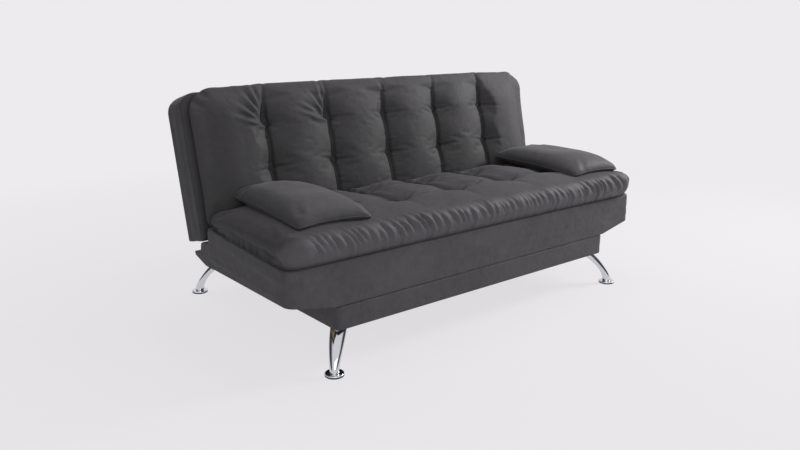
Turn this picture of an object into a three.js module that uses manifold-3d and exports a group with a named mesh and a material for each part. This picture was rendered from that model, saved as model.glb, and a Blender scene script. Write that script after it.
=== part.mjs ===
// Click clack sofa bed with its back upright, modelled in millimetres, Z up.
// The seat faces -Y, and the origin is on the floor under the middle of the feet.
import * as THREE from 'three';
import { mergeVertices } from 'three/addons/utils/BufferGeometryUtils.js';
import Module from 'manifold-3d';

const wasm = await Module();
wasm.setup();

// Clearances and shared thicknesses.
const fit_gap = 0.3;
const weld_distance = 0.0001;
const cover_thickness = 4;
const board_thickness = 22;
const arc_steps = 8;

// Base box, set in from both ends of the seat.
const seat_width = 1800;
const seat_end_overhang = 188;
const base_width = seat_width - 2 * seat_end_overhang;
const base_depth = 1000;
const base_bottom = 139;
const base_height = 85;
const base_corner_radius = 14;
const base_board_thickness = 9.4;
const base_hem = 26;
const base_hem_thickness = 1.5;
const corner_block_size = 62;
const dust_cover_thickness = 1;
const dust_cover_inset = 12;

// Legs, drawn along the diagonal that runs inwards from the foot.
const foot_inset_x = 29;
const foot_overhang_y = 20;
const foot_diameter = 66;
const foot_thickness = 5.7;
const glide_thickness = 4;
const leg_splay_deg = 45;
const leg_sweep = 93;
const leg_sweep_power = 1.7;
const leg_foot_depth = 36;
const leg_top_depth = 54;
const leg_waist = 7;
const leg_foot_width = 33;
const leg_top_width = 58;
const leg_rings = 9;
const leg_sides = 20;
const leg_plate_size = 84;
const leg_plate_thickness = 4;
const leg_plate_inset = 52;
const leg_plate_radius = 10;

// Seat box.
const seat_depth = 552;
const seat_front_height = 383;
const seat_rear_rise = 30;
const seat_rear_undercut = 12;
const seat_slope_width = 183;
const seat_end_rise_share = 0.24;
const seat_corner_radius = 24;
const toe_width = 30;
const toe_root_rise_share = 0.76;
const toe_knee_run = 53;
const toe_knee_rise_share = 0.48;
const toe_tip_run = 120;
const toe_tip_rise_share = 0.453;
const toe_heel_rise_share = 0.176;
const seat_foam_thickness = 20;
const seat_end_panel_thickness = 4;
const seat_hem = 34;
const webbing_thickness = 2;
const webbing_width = 60;
const webbing_straps_a_side = 2;

// Seat cushion.
const seat_grid_end_inset = 30;
const seat_grid_rear_inset = 6;
const columns = 6;
const seat_rows = 13;
const seat_tuft_rows = [5, 10];
const seat_rim_rise = 91;
const seat_rear_drop = 16;
const seat_drop_length = 150;
const seat_crown = 18;
const seat_valley_front_share = 0.2;
const seat_valley_rear_share = 0.85;
const seat_tuft_depth = 16;
const seat_tuft_radius = 44;
const seat_side_roll = 33;
const seat_front_roll = 30;
const seat_rear_roll = 20;
const seat_cushion_radius = 46;
const seat_crown_run = 150;
const seat_crown_run_rear = 100;
const cells_per_column = 8;

// Backrest: height runs up the panel from the hinge, depth rearwards through it.
const back_tilt_deg = 13;
const fold_deg = 77;
const hinge_run = 108;
const hinge_drop = 3;
const panel_front_depth = 62;
const panel_rear_depth = 68;
const panel_bottom_drop = 30;
const panel_top_rise = 503;
const panel_rear_radius = 42;
const panel_corner_radius = 62;
const back_grid_end_inset = 50;
const back_grid_low = -18.5;
const back_grid_high = 491.5;
const back_rows = 12;
const back_tuft_rows = [5, 9];
const back_rim = 25;
const back_crown = 25;
const back_tuft_depth = 15;
const back_tuft_radius = 46;
const back_side_roll = 35;
const back_top_roll = 26;
const back_bottom_roll = 12;
const back_cushion_radius = 70;
const back_crown_run = 130;
const back_crown_run_below = 220;
const back_sheet_thickness = 3;
const back_webbing_rises = [110, 240, 370];

// Cushion sides, from the drawn-in seam up to the rim of the top.
const side_rise_shares = [0, 0.3, 0.62, 0.88, 1];
const side_roll_shares = [0.5, 0.95, 1, 0.7, 0];
const column_crown_power = 2.4;
const disc_map_share = 0.5;

// Arm pillows.
const pillow_width = 292;
const pillow_length = 520;
const pillow_rise = 88;
const pillow_rim_rise = 12;
const pillow_turn_deg = 3.5;
const pillow_left_inset = 240;
const pillow_right_inset = 182;
const pillow_setback = 22;
const pillow_width_cells = 14;
const pillow_length_cells = 22;
const pillow_power = 2.6;
const pillow_dome_power = 0.55;
const pillow_waist_share = 0.05;
const pillow_under_share = 0.5;

// Click clack hinge, measured from the pivot.
const plate_thickness = 5;
const bracket_half_foot = 52;
const bracket_foot_height = 62;
const bracket_eye_radius = 24;
const pivot_radius = 6;
const pivot_head_radius = 11;
const pin_head_thickness = 4;
const quadrant_radius = 42;
const quadrant_lead_deg = 20;
const notch_depth = 9;
const notch_floor_width = 7;
const notch_mouth_width = 10.4;
const arm_half_width = 21;
const arm_rise = 168;
const pawl_pivot_y = -46;
const pawl_pivot_z = -38;
const pawl_pin_radius = 4;
const pawl_hub_radius = 9;
const pawl_head_radius = 7;
const pawl_lift_deg = 13;
const pawl_nose_front = 43;
const pawl_nose_rear = 49;
const pawl_nose_height = 4.6;
const pawl_shoulder = 4.6;
const pawl_back = 12;
const pawl_neck_y = 34;
const pawl_neck_start = 11;
const pawl_neck_height = 6;
const spring_length = 10;
const spring_wire_radius = 0.8;
const spring_coil_radius = 6.1;
const spring_curls = 3.25;
const spring_steps = 8;
const spring_sides = 5;
const spring_leg = 9;
const hinge_slot_margin = 9;
const hinge_slot_rise = 50;
const hinge_slot_front = 48;
const pin_pocket_radius = 14;
const pin_pocket_depth = 6;
const board_slot_margin = 6;

// Colours read from the photo, or usual for the hidden material.
const cloth_colour = 0x4a484d;
const chrome_colour = 0xc9ccd0;
const glide_colour = 0x17171a;
const timber_colour = 0xc7a273;
const zinc_colour = 0x9fa3a8;
const webbing_colour = 0x2c2c30;
const foam_colour = 0xe8ddb6;
const dust_colour = 0x232326;
const spring_colour = 0xb9bcc0;

// Derived positions.
const front = -base_depth / 2;
const base_top = base_bottom + base_height;
const seat_bottom = base_top + fit_gap;
const seat_half = seat_width / 2;
const seat_bottom_half_width = seat_half - seat_slope_width;
const seat_box_rise = seat_front_height - seat_bottom;
const seat_rear_height = seat_front_height + seat_rear_rise;
const seat_end_bottom = seat_bottom + seat_end_rise_share * seat_box_rise;
const toe_root_height = seat_bottom + toe_root_rise_share * seat_box_rise;
const toe_knee_height = seat_bottom + toe_knee_rise_share * seat_box_rise;
const toe_tip_height = seat_bottom + toe_tip_rise_share * seat_box_rise;
const toe_heel_height = seat_bottom + toe_heel_rise_share * seat_box_rise;
const seat_rim_height = seat_front_height + seat_rim_rise;
const hinge_height = seat_front_height - hinge_drop;
const skin = cover_thickness + fit_gap;
const bracket_outer_x = base_width / 2 - skin - board_thickness - fit_gap;
const panel_width = seat_width;
const toe_tip_y = seat_depth + toe_tip_run;
const seat_grid_half_width = seat_half - seat_grid_end_inset;
const column_pitch = 2 * seat_grid_half_width / columns;
const seat_grid_rear_y = seat_depth - seat_grid_rear_inset;
const seat_tuft_ys = seat_tuft_rows.map((row) => row * seat_grid_rear_y / seat_rows);
const back_grid_half_width = seat_half - back_grid_end_inset;
const back_row_pitch = (back_grid_high - back_grid_low) / back_rows;
const back_tuft_rises = back_tuft_rows.map((row) => back_grid_low + row * back_row_pitch);
const hinge = { y: front + seat_depth + hinge_run, z: hinge_height };
const sofa = new THREE.Group();
sofa.name = 'click_clack_sofa_bed';

// Adds one named piece with its own material.
function add(name, solid, colour, metalness, roughness) {
  const material = new THREE.MeshStandardMaterial({ color: colour, metalness, roughness });
  const mesh = new THREE.Mesh(geometry_of(solid), material);
  mesh.name = name;
  sofa.add(mesh);
}

function add_cloth(name, solid) {
  add(name, solid, cloth_colour, 0, 0.95);
}

function add_timber(name, solid) {
  add(name, solid, timber_colour, 0, 0.75);
}

function add_steel(name, solid) {
  add(name, solid, zinc_colour, 0.85, 0.42);
}

// Turns a closed three.js geometry into a solid.
function solid_of(geometry) {
  const bare = geometry.clone();
  bare.deleteAttribute('normal');
  bare.deleteAttribute('uv');
  const welded = mergeVertices(bare, weld_distance);
  const mesh = new wasm.Mesh({
    numProp: 3,
    vertProperties: Float32Array.from(welded.attributes.position.array),
    triVerts: Uint32Array.from(welded.index.array),
  });
  return new wasm.Manifold(mesh);
}

function geometry_of(solid) {
  const mesh = solid.getMesh();
  const geometry = new THREE.BufferGeometry();
  geometry.setAttribute('position', new THREE.BufferAttribute(mesh.vertProperties, 3));
  geometry.setIndex(new THREE.BufferAttribute(mesh.triVerts, 1));
  return geometry;
}

function mirror_left_to_right(solid) {
  return solid.mirror([1, 0, 0]);
}

function mirror_front_to_rear(solid) {
  return solid.mirror([0, 1, 0]);
}

function extruded(points, length, holes) {
  const shape = new THREE.Shape(points.map(([a, b]) => new THREE.Vector2(a, b)));
  for (const hole of holes) {
    shape.holes.push(new THREE.Path(hole.map(([a, b]) => new THREE.Vector2(a, b))));
  }
  return new THREE.ExtrudeGeometry(shape, { depth: length, bevelEnabled: false });
}

// Points are (y, z); the prism runs along x.
function prism_x(points, x_start, x_end, holes = []) {
  const geometry = extruded(points, x_end - x_start, holes);
  const basis = new THREE.Matrix4().makeBasis(
    new THREE.Vector3(0, 1, 0), new THREE.Vector3(0, 0, 1), new THREE.Vector3(1, 0, 0));
  geometry.applyMatrix4(basis);
  geometry.translate(x_start, 0, 0);
  return solid_of(geometry);
}

// Points are (x, z); the prism runs along y.
function prism_y(points, y_start, y_end) {
  const geometry = extruded(points, y_end - y_start, []);
  const basis = new THREE.Matrix4().makeBasis(
    new THREE.Vector3(1, 0, 0), new THREE.Vector3(0, 0, 1), new THREE.Vector3(0, -1, 0));
  geometry.applyMatrix4(basis);
  geometry.translate(0, y_end, 0);
  return solid_of(geometry);
}

// Points are (x, y); the prism runs along z.
function prism_z(points, z_start, z_end) {
  const geometry = extruded(points, z_end - z_start, []);
  geometry.translate(0, 0, z_start);
  return solid_of(geometry);
}

function box(x_start, x_end, y_start, y_end, z_start, z_end) {
  const geometry = new THREE.BoxGeometry(x_end - x_start, y_end - y_start, z_end - z_start);
  geometry.translate((x_start + x_end) / 2, (y_start + y_end) / 2, (z_start + z_end) / 2);
  return solid_of(geometry);
}

function arc(centre_a, centre_b, radius, start_deg, end_deg, steps = arc_steps) {
  const points = [];
  for (let step = 0; step <= steps; step += 1) {
    const angle = THREE.MathUtils.degToRad(start_deg + (end_deg - start_deg) * step / steps);
    points.push([centre_a + radius * Math.cos(angle), centre_b + radius * Math.sin(angle)]);
  }
  return points;
}

function circle(centre_a, centre_b, radius, steps) {
  return arc(centre_a, centre_b, radius, 0, 360, steps).slice(0, steps);
}

function rounded_rectangle(a_start, a_end, b_start, b_end, radius) {
  return [
    ...arc(a_end - radius, b_end - radius, radius, 0, 90),
    ...arc(a_start + radius, b_end - radius, radius, 90, 180),
    ...arc(a_start + radius, b_start + radius, radius, 180, 270),
    ...arc(a_end - radius, b_start + radius, radius, 270, 360),
  ];
}

// Moves every edge of a counter-clockwise outline inwards by the same distance.
function inset_outline(points, distance) {
  return points.map((point, index) => {
    const before = points[(index + points.length - 1) % points.length];
    const after = points[(index + 1) % points.length];
    const incoming = new THREE.Vector2(point[0] - before[0], point[1] - before[1]).normalize();
    const outgoing = new THREE.Vector2(after[0] - point[0], after[1] - point[1]).normalize();
    const spread = 1 + incoming.dot(outgoing);
    const normal_a = -(incoming.y + outgoing.y) / spread;
    const normal_b = (incoming.x + outgoing.x) / spread;
    return [point[0] + normal_a * distance, point[1] + normal_b * distance];
  });
}

// Joins rings of equal point counts into a closed skin with flat ends.
function loft(rings) {
  const sides = rings[0].length;
  const points = rings.flat();
  const faces = [];
  for (let ring = 0; ring + 1 < rings.length; ring += 1) {
    for (let side = 0; side < sides; side += 1) {
      const next = (side + 1) % sides;
      const a = ring * sides + side;
      const b = ring * sides + next;
      faces.push(a, b, b + sides, a, b + sides, a + sides);
    }
  }
  const last = (rings.length - 1) * sides;
  for (let side = 1; side + 1 < sides; side += 1) {
    faces.push(0, side + 1, side);
    faces.push(last, last + side, last + side + 1);
  }
  return skin_of(points, faces);
}

function skin_of(points, faces) {
  const geometry = new THREE.BufferGeometry();
  geometry.setAttribute('position', new THREE.Float32BufferAttribute(points.flat(), 3));
  geometry.setIndex(faces);
  return solid_of(geometry);
}

// Turns a closed outline of (radius, along) about the x axis.
function turned(profile, x_start, steps) {
  const outline = profile.map(([radius, along]) => new THREE.Vector2(radius, along));
  outline.push(outline[0].clone());
  const geometry = new THREE.LatheGeometry(outline, steps);
  geometry.rotateZ(-Math.PI / 2);
  geometry.translate(x_start, 0, 0);
  return solid_of(geometry);
}

// Stands a piece drawn upright at the pivot into the tilted back.
function onto_back(solid) {
  return solid.rotate([-back_tilt_deg, 0, 0]).translate([0, hinge.y, hinge.z]);
}

// Base box.
function base_outline() {
  const half = base_width / 2;
  return rounded_rectangle(-half, half, front, -front, base_corner_radius);
}

function base_room() {
  return prism_z(inset_outline(base_outline(), skin), 0, base_top);
}

function make_base_rails() {
  const room = base_room();
  const half = base_width / 2 - skin;
  const near = front + skin;
  const far = -front - skin;
  const low = base_bottom + base_hem_thickness + fit_gap;
  const high = base_top - base_board_thickness - 2 * fit_gap;
  const between = half - board_thickness - fit_gap;
  const inner_near = near + board_thickness + fit_gap;
  const inner_far = far - board_thickness - fit_gap;
  const side = box(-half, -half + board_thickness, near, far, low, high).intersect(room);
  add_timber('base_left_rail', side);
  add_timber('base_right_rail', mirror_left_to_right(side));
  add_timber('base_front_rail',
    box(-between, between, near, near + board_thickness, low, high));
  add_timber('base_rear_rail',
    box(-between, between, far - board_thickness, far, low, high));
  add_timber('base_centre_rail',
    box(-board_thickness / 2, board_thickness / 2, inner_near, inner_far, low, high));
  const block = box(-between, -between + corner_block_size,
    inner_near, inner_near + corner_block_size, low, high);
  add_timber('base_block_front_left', block);
  add_timber('base_block_front_right', mirror_left_to_right(block));
  add_timber('base_block_rear_left', mirror_front_to_rear(block));
  add_timber('base_block_rear_right', mirror_left_to_right(mirror_front_to_rear(block)));
}

function make_base_top_board() {
  const half = base_width / 2 - skin;
  const high = base_top - fit_gap;
  let board = box(-half, half, front + skin, -front - skin, high - base_board_thickness, high);
  const slot = box(
    -bracket_outer_x - fit_gap, -bracket_outer_x + plate_thickness + fit_gap,
    hinge.y - bracket_half_foot - board_slot_margin,
    hinge.y + bracket_half_foot + board_slot_margin,
    base_bottom, base_top + base_height);
  board = board.intersect(base_room()).subtract(slot).subtract(mirror_left_to_right(slot));
  add_timber('base_top_board', board);
}

function make_base_cover() {
  const half = base_width / 2;
  const outer = base_outline();
  const inner = inset_outline(outer, cover_thickness);
  const above = base_bottom + base_hem_thickness;
  const cover = prism_z(outer, base_bottom, base_top)
    .subtract(prism_z(inner, above, base_top + base_height))
    .subtract(box(-half + base_hem, half - base_hem, front + base_hem, -front - base_hem,
      base_bottom - base_height, base_top));
  add_cloth('base_cover', cover);
}

function make_dust_cover() {
  const half = base_width / 2 - dust_cover_inset;
  const high = base_bottom - fit_gap;
  add('base_dust_cover', box(-half, half, front + dust_cover_inset, -front - dust_cover_inset,
    high - dust_cover_thickness, high), dust_colour, 0, 0.95);
}

// Legs.
function leg_ring(share, low, high) {
  const sweep = leg_sweep * share ** leg_sweep_power;
  const waist = leg_waist * Math.sin(Math.PI * share) ** 2;
  const depth = leg_foot_depth + (leg_top_depth - leg_foot_depth) * share ** 2 - waist;
  const ease = THREE.MathUtils.smoothstep(share, 0, 1);
  const width = leg_foot_width + (leg_top_width - leg_foot_width) * ease;
  const ring = [];
  for (let side = 0; side < leg_sides; side += 1) {
    const angle = 2 * Math.PI * side / leg_sides;
    const inward = sweep + depth / 2 * Math.cos(angle);
    const across = width / 2 * Math.sin(angle);
    ring.push([inward, across, low + (high - low) * share]);
  }
  return ring;
}

function make_legs() {
  const plate_top = base_bottom - fit_gap - dust_cover_thickness - fit_gap;
  const plate_low = plate_top - leg_plate_thickness;
  const disc_low = glide_thickness + fit_gap;
  const disc_high = disc_low + foot_thickness;
  const foot_x = -base_width / 2 - foot_inset_x;
  const foot_y = front - foot_overhang_y;
  const rings = [];
  for (let ring = 0; ring <= leg_rings; ring += 1) {
    rings.push(leg_ring(ring / leg_rings, disc_high - fit_gap, plate_low + fit_gap));
  }
  const disc = prism_z(circle(0, 0, foot_diameter / 2, leg_sides * 2), disc_low, disc_high);
  const plate_x = -base_width / 2 + leg_plate_inset;
  const plate_y = front + leg_plate_inset + leg_plate_radius;
  const reach = leg_plate_size / 2;
  const plate = prism_z(rounded_rectangle(plate_x - reach, plate_x + reach,
    plate_y - reach, plate_y + reach, leg_plate_radius), plate_low, plate_top);
  const leg = loft(rings).add(disc).rotate([0, 0, leg_splay_deg]).translate([foot_x, foot_y, 0]).add(plate);
  const glide = prism_z(circle(foot_x, foot_y, foot_diameter / 2, leg_sides * 2),
    0, glide_thickness);
  add_four('leg', leg, chrome_colour, 1, 0.12);
  add_four('foot_glide', glide, glide_colour, 0, 0.7);
}

function add_four(name, solid, colour, metalness, roughness) {
  const rear = mirror_front_to_rear(solid);
  add(`${name}_front_left`, solid, colour, metalness, roughness);
  add(`${name}_front_right`, mirror_left_to_right(solid), colour, metalness, roughness);
  add(`${name}_rear_left`, rear, colour, metalness, roughness);
  add(`${name}_rear_right`, mirror_left_to_right(rear), colour, metalness, roughness);
}

// Seat box.
function seat_box_top(y) {
  return seat_front_height + seat_rear_rise * (y - front) / seat_depth;
}

function seat_side_outline() {
  return [
    [front, seat_bottom],
    [front + seat_depth - seat_rear_undercut, seat_bottom],
    [front + seat_depth, toe_root_height],
    [front + seat_depth, seat_box_top(front + seat_depth)],
    [front, seat_front_height],
  ];
}

function toe_outline() {
  return [
    [front + seat_depth - seat_hem, toe_heel_height],
    [front + seat_depth, toe_heel_height],
    [front + toe_tip_y, toe_tip_height],
    [front + seat_depth + toe_knee_run, toe_knee_height],
    [front + seat_depth, toe_root_height],
    [front + seat_depth - seat_hem, toe_root_height],
  ];
}

function seat_front_outline() {
  const high = seat_rear_height;
  return [
    [-seat_bottom_half_width, seat_bottom],
    [seat_bottom_half_width, seat_bottom],
    [seat_half, seat_end_bottom],
    [seat_half, high],
    [-seat_half, high],
    [-seat_half, seat_end_bottom],
  ];
}

// The seat box as one solid, drawn in from its outside by the given distance.
function seat_block(distance) {
  const side = inset_outline(seat_side_outline(), distance);
  const across = inset_outline(seat_front_outline(), distance);
  const toe = inset_outline(toe_outline(), distance);
  const reach = seat_half - distance;
  const plan = inset_outline(rounded_rectangle(-seat_half, seat_half,
    front, front + toe_tip_y + seat_corner_radius, seat_corner_radius), distance);
  const body = prism_x(side, -reach, reach);
  const left_toe = prism_x(toe, -reach, -seat_half + toe_width - distance);
  const rounded = prism_z(plan, 0, seat_rear_height);
  const fronted = prism_y(across, front, front + toe_tip_y);
  return body.add(left_toe).add(mirror_left_to_right(left_toe))
    .intersect(rounded).intersect(fronted);
}

function make_seat_cover() {
  const opening = box(
    -seat_bottom_half_width + seat_hem, seat_bottom_half_width - seat_hem,
    front + seat_hem, front + seat_depth - seat_rear_undercut - seat_hem,
    0, seat_bottom + cover_thickness + fit_gap);
  const cover = seat_block(0).subtract(seat_block(cover_thickness)).subtract(opening);
  add_cloth('seat_cover', cover);
}

// The room inside the seat cover below the foam.
function below_foam(lowering) {
  const drop = skin + lowering;
  return prism_x([
    [front, 0],
    [front + toe_tip_y, 0],
    [front + toe_tip_y, toe_tip_height],
    [front + seat_depth, seat_box_top(front + seat_depth) - drop],
    [front, seat_front_height - drop],
  ], -seat_half, seat_half);
}

function make_seat_boards() {
  const room = seat_block(skin)
    .intersect(below_foam(seat_foam_thickness + 2 * fit_gap + webbing_thickness));
  const end = seat_half - toe_width + skin;
  const near = front + skin + board_thickness;
  const far = front + seat_depth - seat_rear_undercut - skin;
  const left = box(-seat_half, -end, front, front + toe_tip_y, 0, seat_rear_height);
  const front_slice = box(-end + fit_gap, end - fit_gap, front, near, 0, seat_rear_height);
  const rear_slice = box(-end + fit_gap, end - fit_gap, far - board_thickness, far,
    0, seat_rear_height);
  const cross_slice = box(-board_thickness / 2, board_thickness / 2,
    near + fit_gap, far - board_thickness - fit_gap, 0, seat_rear_height);
  const left_board = room.intersect(left);
  add_timber('seat_left_board', left_board);
  add_timber('seat_right_board', mirror_left_to_right(left_board));
  add_timber('seat_front_board', room.intersect(front_slice));
  add_timber('seat_rear_board', room.intersect(rear_slice));
  add_timber('seat_cross_board', room.intersect(cross_slice));
}

// Thin board that closes the sloped underside at each end of the seat box.
function make_seat_end_panels() {
  const sheet = seat_block(skin).subtract(seat_block(skin + seat_end_panel_thickness));
  const far = front + seat_depth - seat_rear_undercut - skin - board_thickness - fit_gap;
  const slice = box(-seat_half + toe_width - skin + fit_gap, -seat_bottom_half_width + seat_hem,
    front + skin + board_thickness + fit_gap, far, 0, seat_end_bottom + seat_end_panel_thickness * 2);
  const panel = sheet.intersect(slice);
  add_timber('seat_end_panel_left', panel);
  add_timber('seat_end_panel_right', mirror_left_to_right(panel));
}

function make_seat_webbing() {
  const upper = below_foam(seat_foam_thickness + fit_gap);
  const lower = below_foam(seat_foam_thickness + fit_gap + webbing_thickness);
  const layer = upper.subtract(lower);
  const far = front + seat_depth - seat_rear_undercut - skin;
  for (let strap = 1; strap <= webbing_straps_a_side; strap += 1) {
    const x = strap * column_pitch;
    const slice = box(x - webbing_width / 2, x + webbing_width / 2,
      front + skin, far, 0, seat_rear_height);
    const band = layer.intersect(slice);
    add(`seat_webbing_right_${strap}`, band, webbing_colour, 0, 0.9);
    add(`seat_webbing_left_${strap}`, mirror_left_to_right(band), webbing_colour, 0, 0.9);
  }
}

function make_seat_foam() {
  const foam = seat_block(skin).subtract(below_foam(seat_foam_thickness));
  add('seat_foam', foam, foam_colour, 0, 0.95);
}

// Cushion builder.
// The top is a grid over a rounded rectangle; the sides are rings that roll out and in.
function rounded_plan(u, v, plan) {
  const corner_u = Math.abs(u - plan.mid_u) - (plan.half_u - plan.radius);
  const corner_v = Math.abs(v - plan.mid_v) - (plan.half_v - plan.radius);
  if (corner_u <= 0 || corner_v <= 0) {
    return [u, v];
  }
  const a = corner_u / plan.radius;
  const b = corner_v / plan.radius;
  const round_a = a * Math.sqrt(1 - disc_map_share * b * b);
  const round_b = b * Math.sqrt(1 - disc_map_share * a * a);
  const new_u = plan.half_u - plan.radius + round_a * plan.radius;
  const new_v = plan.half_v - plan.radius + round_b * plan.radius;
  return [plan.mid_u + Math.sign(u - plan.mid_u) * new_u,
    plan.mid_v + Math.sign(v - plan.mid_v) * new_v];
}

function plan_of(us, vs, radius) {
  const last_u = us[us.length - 1];
  const last_v = vs[vs.length - 1];
  return {
    mid_u: (us[0] + last_u) / 2,
    mid_v: (vs[0] + last_v) / 2,
    half_u: (last_u - us[0]) / 2,
    half_v: (last_v - vs[0]) / 2,
    radius,
  };
}

// Indices of the grid's rim, counter-clockwise from the first corner.
function rim_indices(count_u, count_v) {
  const rim = [];
  for (let i = 0; i < count_u - 1; i += 1) rim.push(i);
  for (let j = 0; j < count_v - 1; j += 1) rim.push(j * count_u + count_u - 1);
  for (let i = count_u - 1; i > 0; i -= 1) rim.push((count_v - 1) * count_u + i);
  for (let j = count_v - 1; j > 0; j -= 1) rim.push(j * count_u);
  return rim;
}

function roll_at(normal, rolls) {
  const along_v = normal.y < 0 ? rolls.start : rolls.end;
  return Math.abs(normal.x) * rolls.side + Math.abs(normal.y) * along_v;
}

function padded_block(spec) {
  const plan = plan_of(spec.us, spec.vs, spec.radius);
  const top = [];
  for (const v of spec.vs) {
    for (const u of spec.us) {
      top.push(rounded_plan(u, v, plan));
    }
  }
  const count_u = spec.us.length;
  const count_v = spec.vs.length;
  const rim = rim_indices(count_u, count_v);
  const points = top.map(([u, v]) => spec.place(u, v, spec.rim(u, v) + spec.crown(u, v)));
  for (const index of rim) {
    points[index] = spec.place(...top[index], spec.rim(...top[index]));
  }
  const faces = [];
  for (let j = 0; j + 1 < count_v; j += 1) {
    for (let i = 0; i + 1 < count_u; i += 1) {
      const a = j * count_u + i;
      const b = a + 1;
      const c = b + count_u;
      const d = a + count_u;
      faces.push(...(i < count_u / 2 === j < count_v / 2 ? [a, b, c, a, c, d] : [a, b, d, b, c, d]));
    }
  }
  add_sides(spec, top, rim, points, faces);
  return skin_of(points, faces);
}

function add_sides(spec, top, rim, points, faces) {
  let upper = rim;
  for (let row = side_rise_shares.length - 2; row >= 0; row -= 1) {
    const lower = [];
    for (let k = 0; k < rim.length; k += 1) {
      const before = top[rim[(k + rim.length - 1) % rim.length]];
      const after = top[rim[(k + 1) % rim.length]];
      const normal = new THREE.Vector2(after[1] - before[1], before[0] - after[0]).normalize();
      const roll = roll_at(normal, spec.rolls) * side_roll_shares[row];
      const [u, v] = top[rim[k]];
      lower.push(points.length);
      const new_u = u + normal.x * roll;
      const new_v = v + normal.y * roll;
      points.push(spec.place(new_u, new_v, spec.rim(u, v) * side_rise_shares[row]));
    }
    for (let k = 0; k < rim.length; k += 1) {
      const next = (k + 1) % rim.length;
      faces.push(lower[k], lower[next], upper[next], lower[k], upper[next], upper[k]);
    }
    upper = lower;
  }
  const plan = plan_of(spec.us, spec.vs, spec.radius);
  const centre = points.length;
  points.push(spec.place(plan.mid_u, plan.mid_v, 0));
  for (let k = 0; k < rim.length; k += 1) {
    faces.push(centre, upper[(k + 1) % rim.length], upper[k]);
  }
}

function evenly(start, end, cells) {
  const nodes = [];
  for (let cell = 0; cell <= cells; cell += 1) {
    nodes.push(start + (end - start) * cell / cells);
  }
  return nodes;
}

// Grid lines that fall on every channel between columns.
function column_nodes(half_width) {
  const nodes = [];
  const inner = column_pitch * (columns / 2 - 1);
  nodes.push(...evenly(-half_width, -inner, cells_per_column).slice(0, cells_per_column));
  nodes.push(...evenly(-inner, inner, cells_per_column * (columns - 2)));
  nodes.push(...evenly(inner, half_width, cells_per_column).slice(1));
  return nodes;
}

// 1 on the middle line of a column, 0 on the channel beside it.
function column_share(u, half_width) {
  const inner = column_pitch * (columns / 2 - 1);
  const reach = Math.abs(u) > inner ? half_width - inner : column_pitch;
  const start = Math.abs(u) > inner ? inner : column_pitch * Math.floor(Math.abs(u) / column_pitch);
  const across = Math.min((Math.abs(u) - start) / reach, 1);
  return 1 - Math.abs(2 * across - 1) ** column_crown_power;
}

function rim_share(distance, run) {
  return 1 - (1 - THREE.MathUtils.clamp(distance / run, 0, 1)) ** 2;
}

function nearest_channel(u) {
  const limit = columns / 2 - 1;
  return column_pitch * THREE.MathUtils.clamp(Math.round(u / column_pitch), -limit, limit);
}

function tuft_dip(u, v, rows, radius) {
  const du = (u - nearest_channel(u)) / radius;
  return rows.reduce((sum, row) => {
    const dv = (v - row) / radius;
    return sum + Math.exp(-du * du - dv * dv);
  }, 0);
}

// Seat cushion.
function seat_crown_at(u, v) {
  const in_u = rim_share(seat_grid_half_width - Math.abs(u), seat_crown_run);
  const in_v = rim_share(v, seat_crown_run) * rim_share(seat_grid_rear_y - v, seat_crown_run_rear);
  const rearward = THREE.MathUtils.smoothstep(v, seat_tuft_ys[0] / 2, seat_tuft_ys[1]);
  const valley = THREE.MathUtils.lerp(seat_valley_front_share, seat_valley_rear_share, rearward);
  const dome = 1 - valley * (1 - column_share(u, seat_grid_half_width));
  const dip = seat_tuft_depth * tuft_dip(u, v, seat_tuft_ys, seat_tuft_radius);
  return seat_crown * dome * in_u * in_v - dip;
}

function seat_rim_at(v) {
  const fall = THREE.MathUtils.smoothstep(v, seat_grid_rear_y - seat_drop_length, seat_grid_rear_y);
  return seat_rim_height - seat_rear_drop * fall;
}

function cushion_base(v) {
  return seat_box_top(front + v) + fit_gap;
}

function make_seat_cushion() {
  const cushion = padded_block({
    us: column_nodes(seat_grid_half_width),
    vs: evenly(0, seat_grid_rear_y, seat_rows),
    radius: seat_cushion_radius,
    rolls: { side: seat_side_roll, start: seat_front_roll, end: seat_rear_roll },
    rim: (u, v) => seat_rim_at(v) - cushion_base(v),
    crown: seat_crown_at,
    place: (u, v, w) => [u, front + v, cushion_base(v) + w],
  });
  add_cloth('seat_cushion', cushion);
}

// Backrest panel.
function panel_outline() {
  const top = panel_top_rise;
  return [
    [-panel_front_depth, -panel_bottom_drop],
    [panel_rear_depth, -panel_bottom_drop],
    ...arc(panel_rear_depth - panel_rear_radius, top - panel_rear_radius,
      panel_rear_radius, 0, 90),
    [-panel_front_depth, top],
  ];
}

function panel_block(distance) {
  const reach = panel_width / 2;
  const face = inset_outline([
    [-reach, -panel_bottom_drop],
    [reach, -panel_bottom_drop],
    ...arc(reach - panel_corner_radius, panel_top_rise - panel_corner_radius,
      panel_corner_radius, 0, 90),
    ...arc(-reach + panel_corner_radius, panel_top_rise - panel_corner_radius,
      panel_corner_radius, 90, 180),
  ], distance);
  const side = inset_outline(panel_outline(), distance);
  return prism_x(side, -reach, reach)
    .intersect(prism_y(face, -panel_front_depth, panel_rear_depth));
}

// The slot in the panel that the hinge plates swing in.
function hinge_slot() {
  const inner = bracket_outer_x - 2 * plate_thickness - fit_gap - pin_pocket_depth;
  const slot = box(-bracket_outer_x - hinge_slot_margin, -inner,
    -hinge_slot_front, panel_rear_depth + hinge_slot_margin,
    -panel_bottom_drop - hinge_slot_margin, hinge_slot_rise);
  return slot.add(mirror_left_to_right(slot));
}

function make_back_cover() {
  const cover = panel_block(0).subtract(panel_block(cover_thickness)).subtract(hinge_slot());
  add_cloth('back_cover', onto_back(cover));
}

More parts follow.
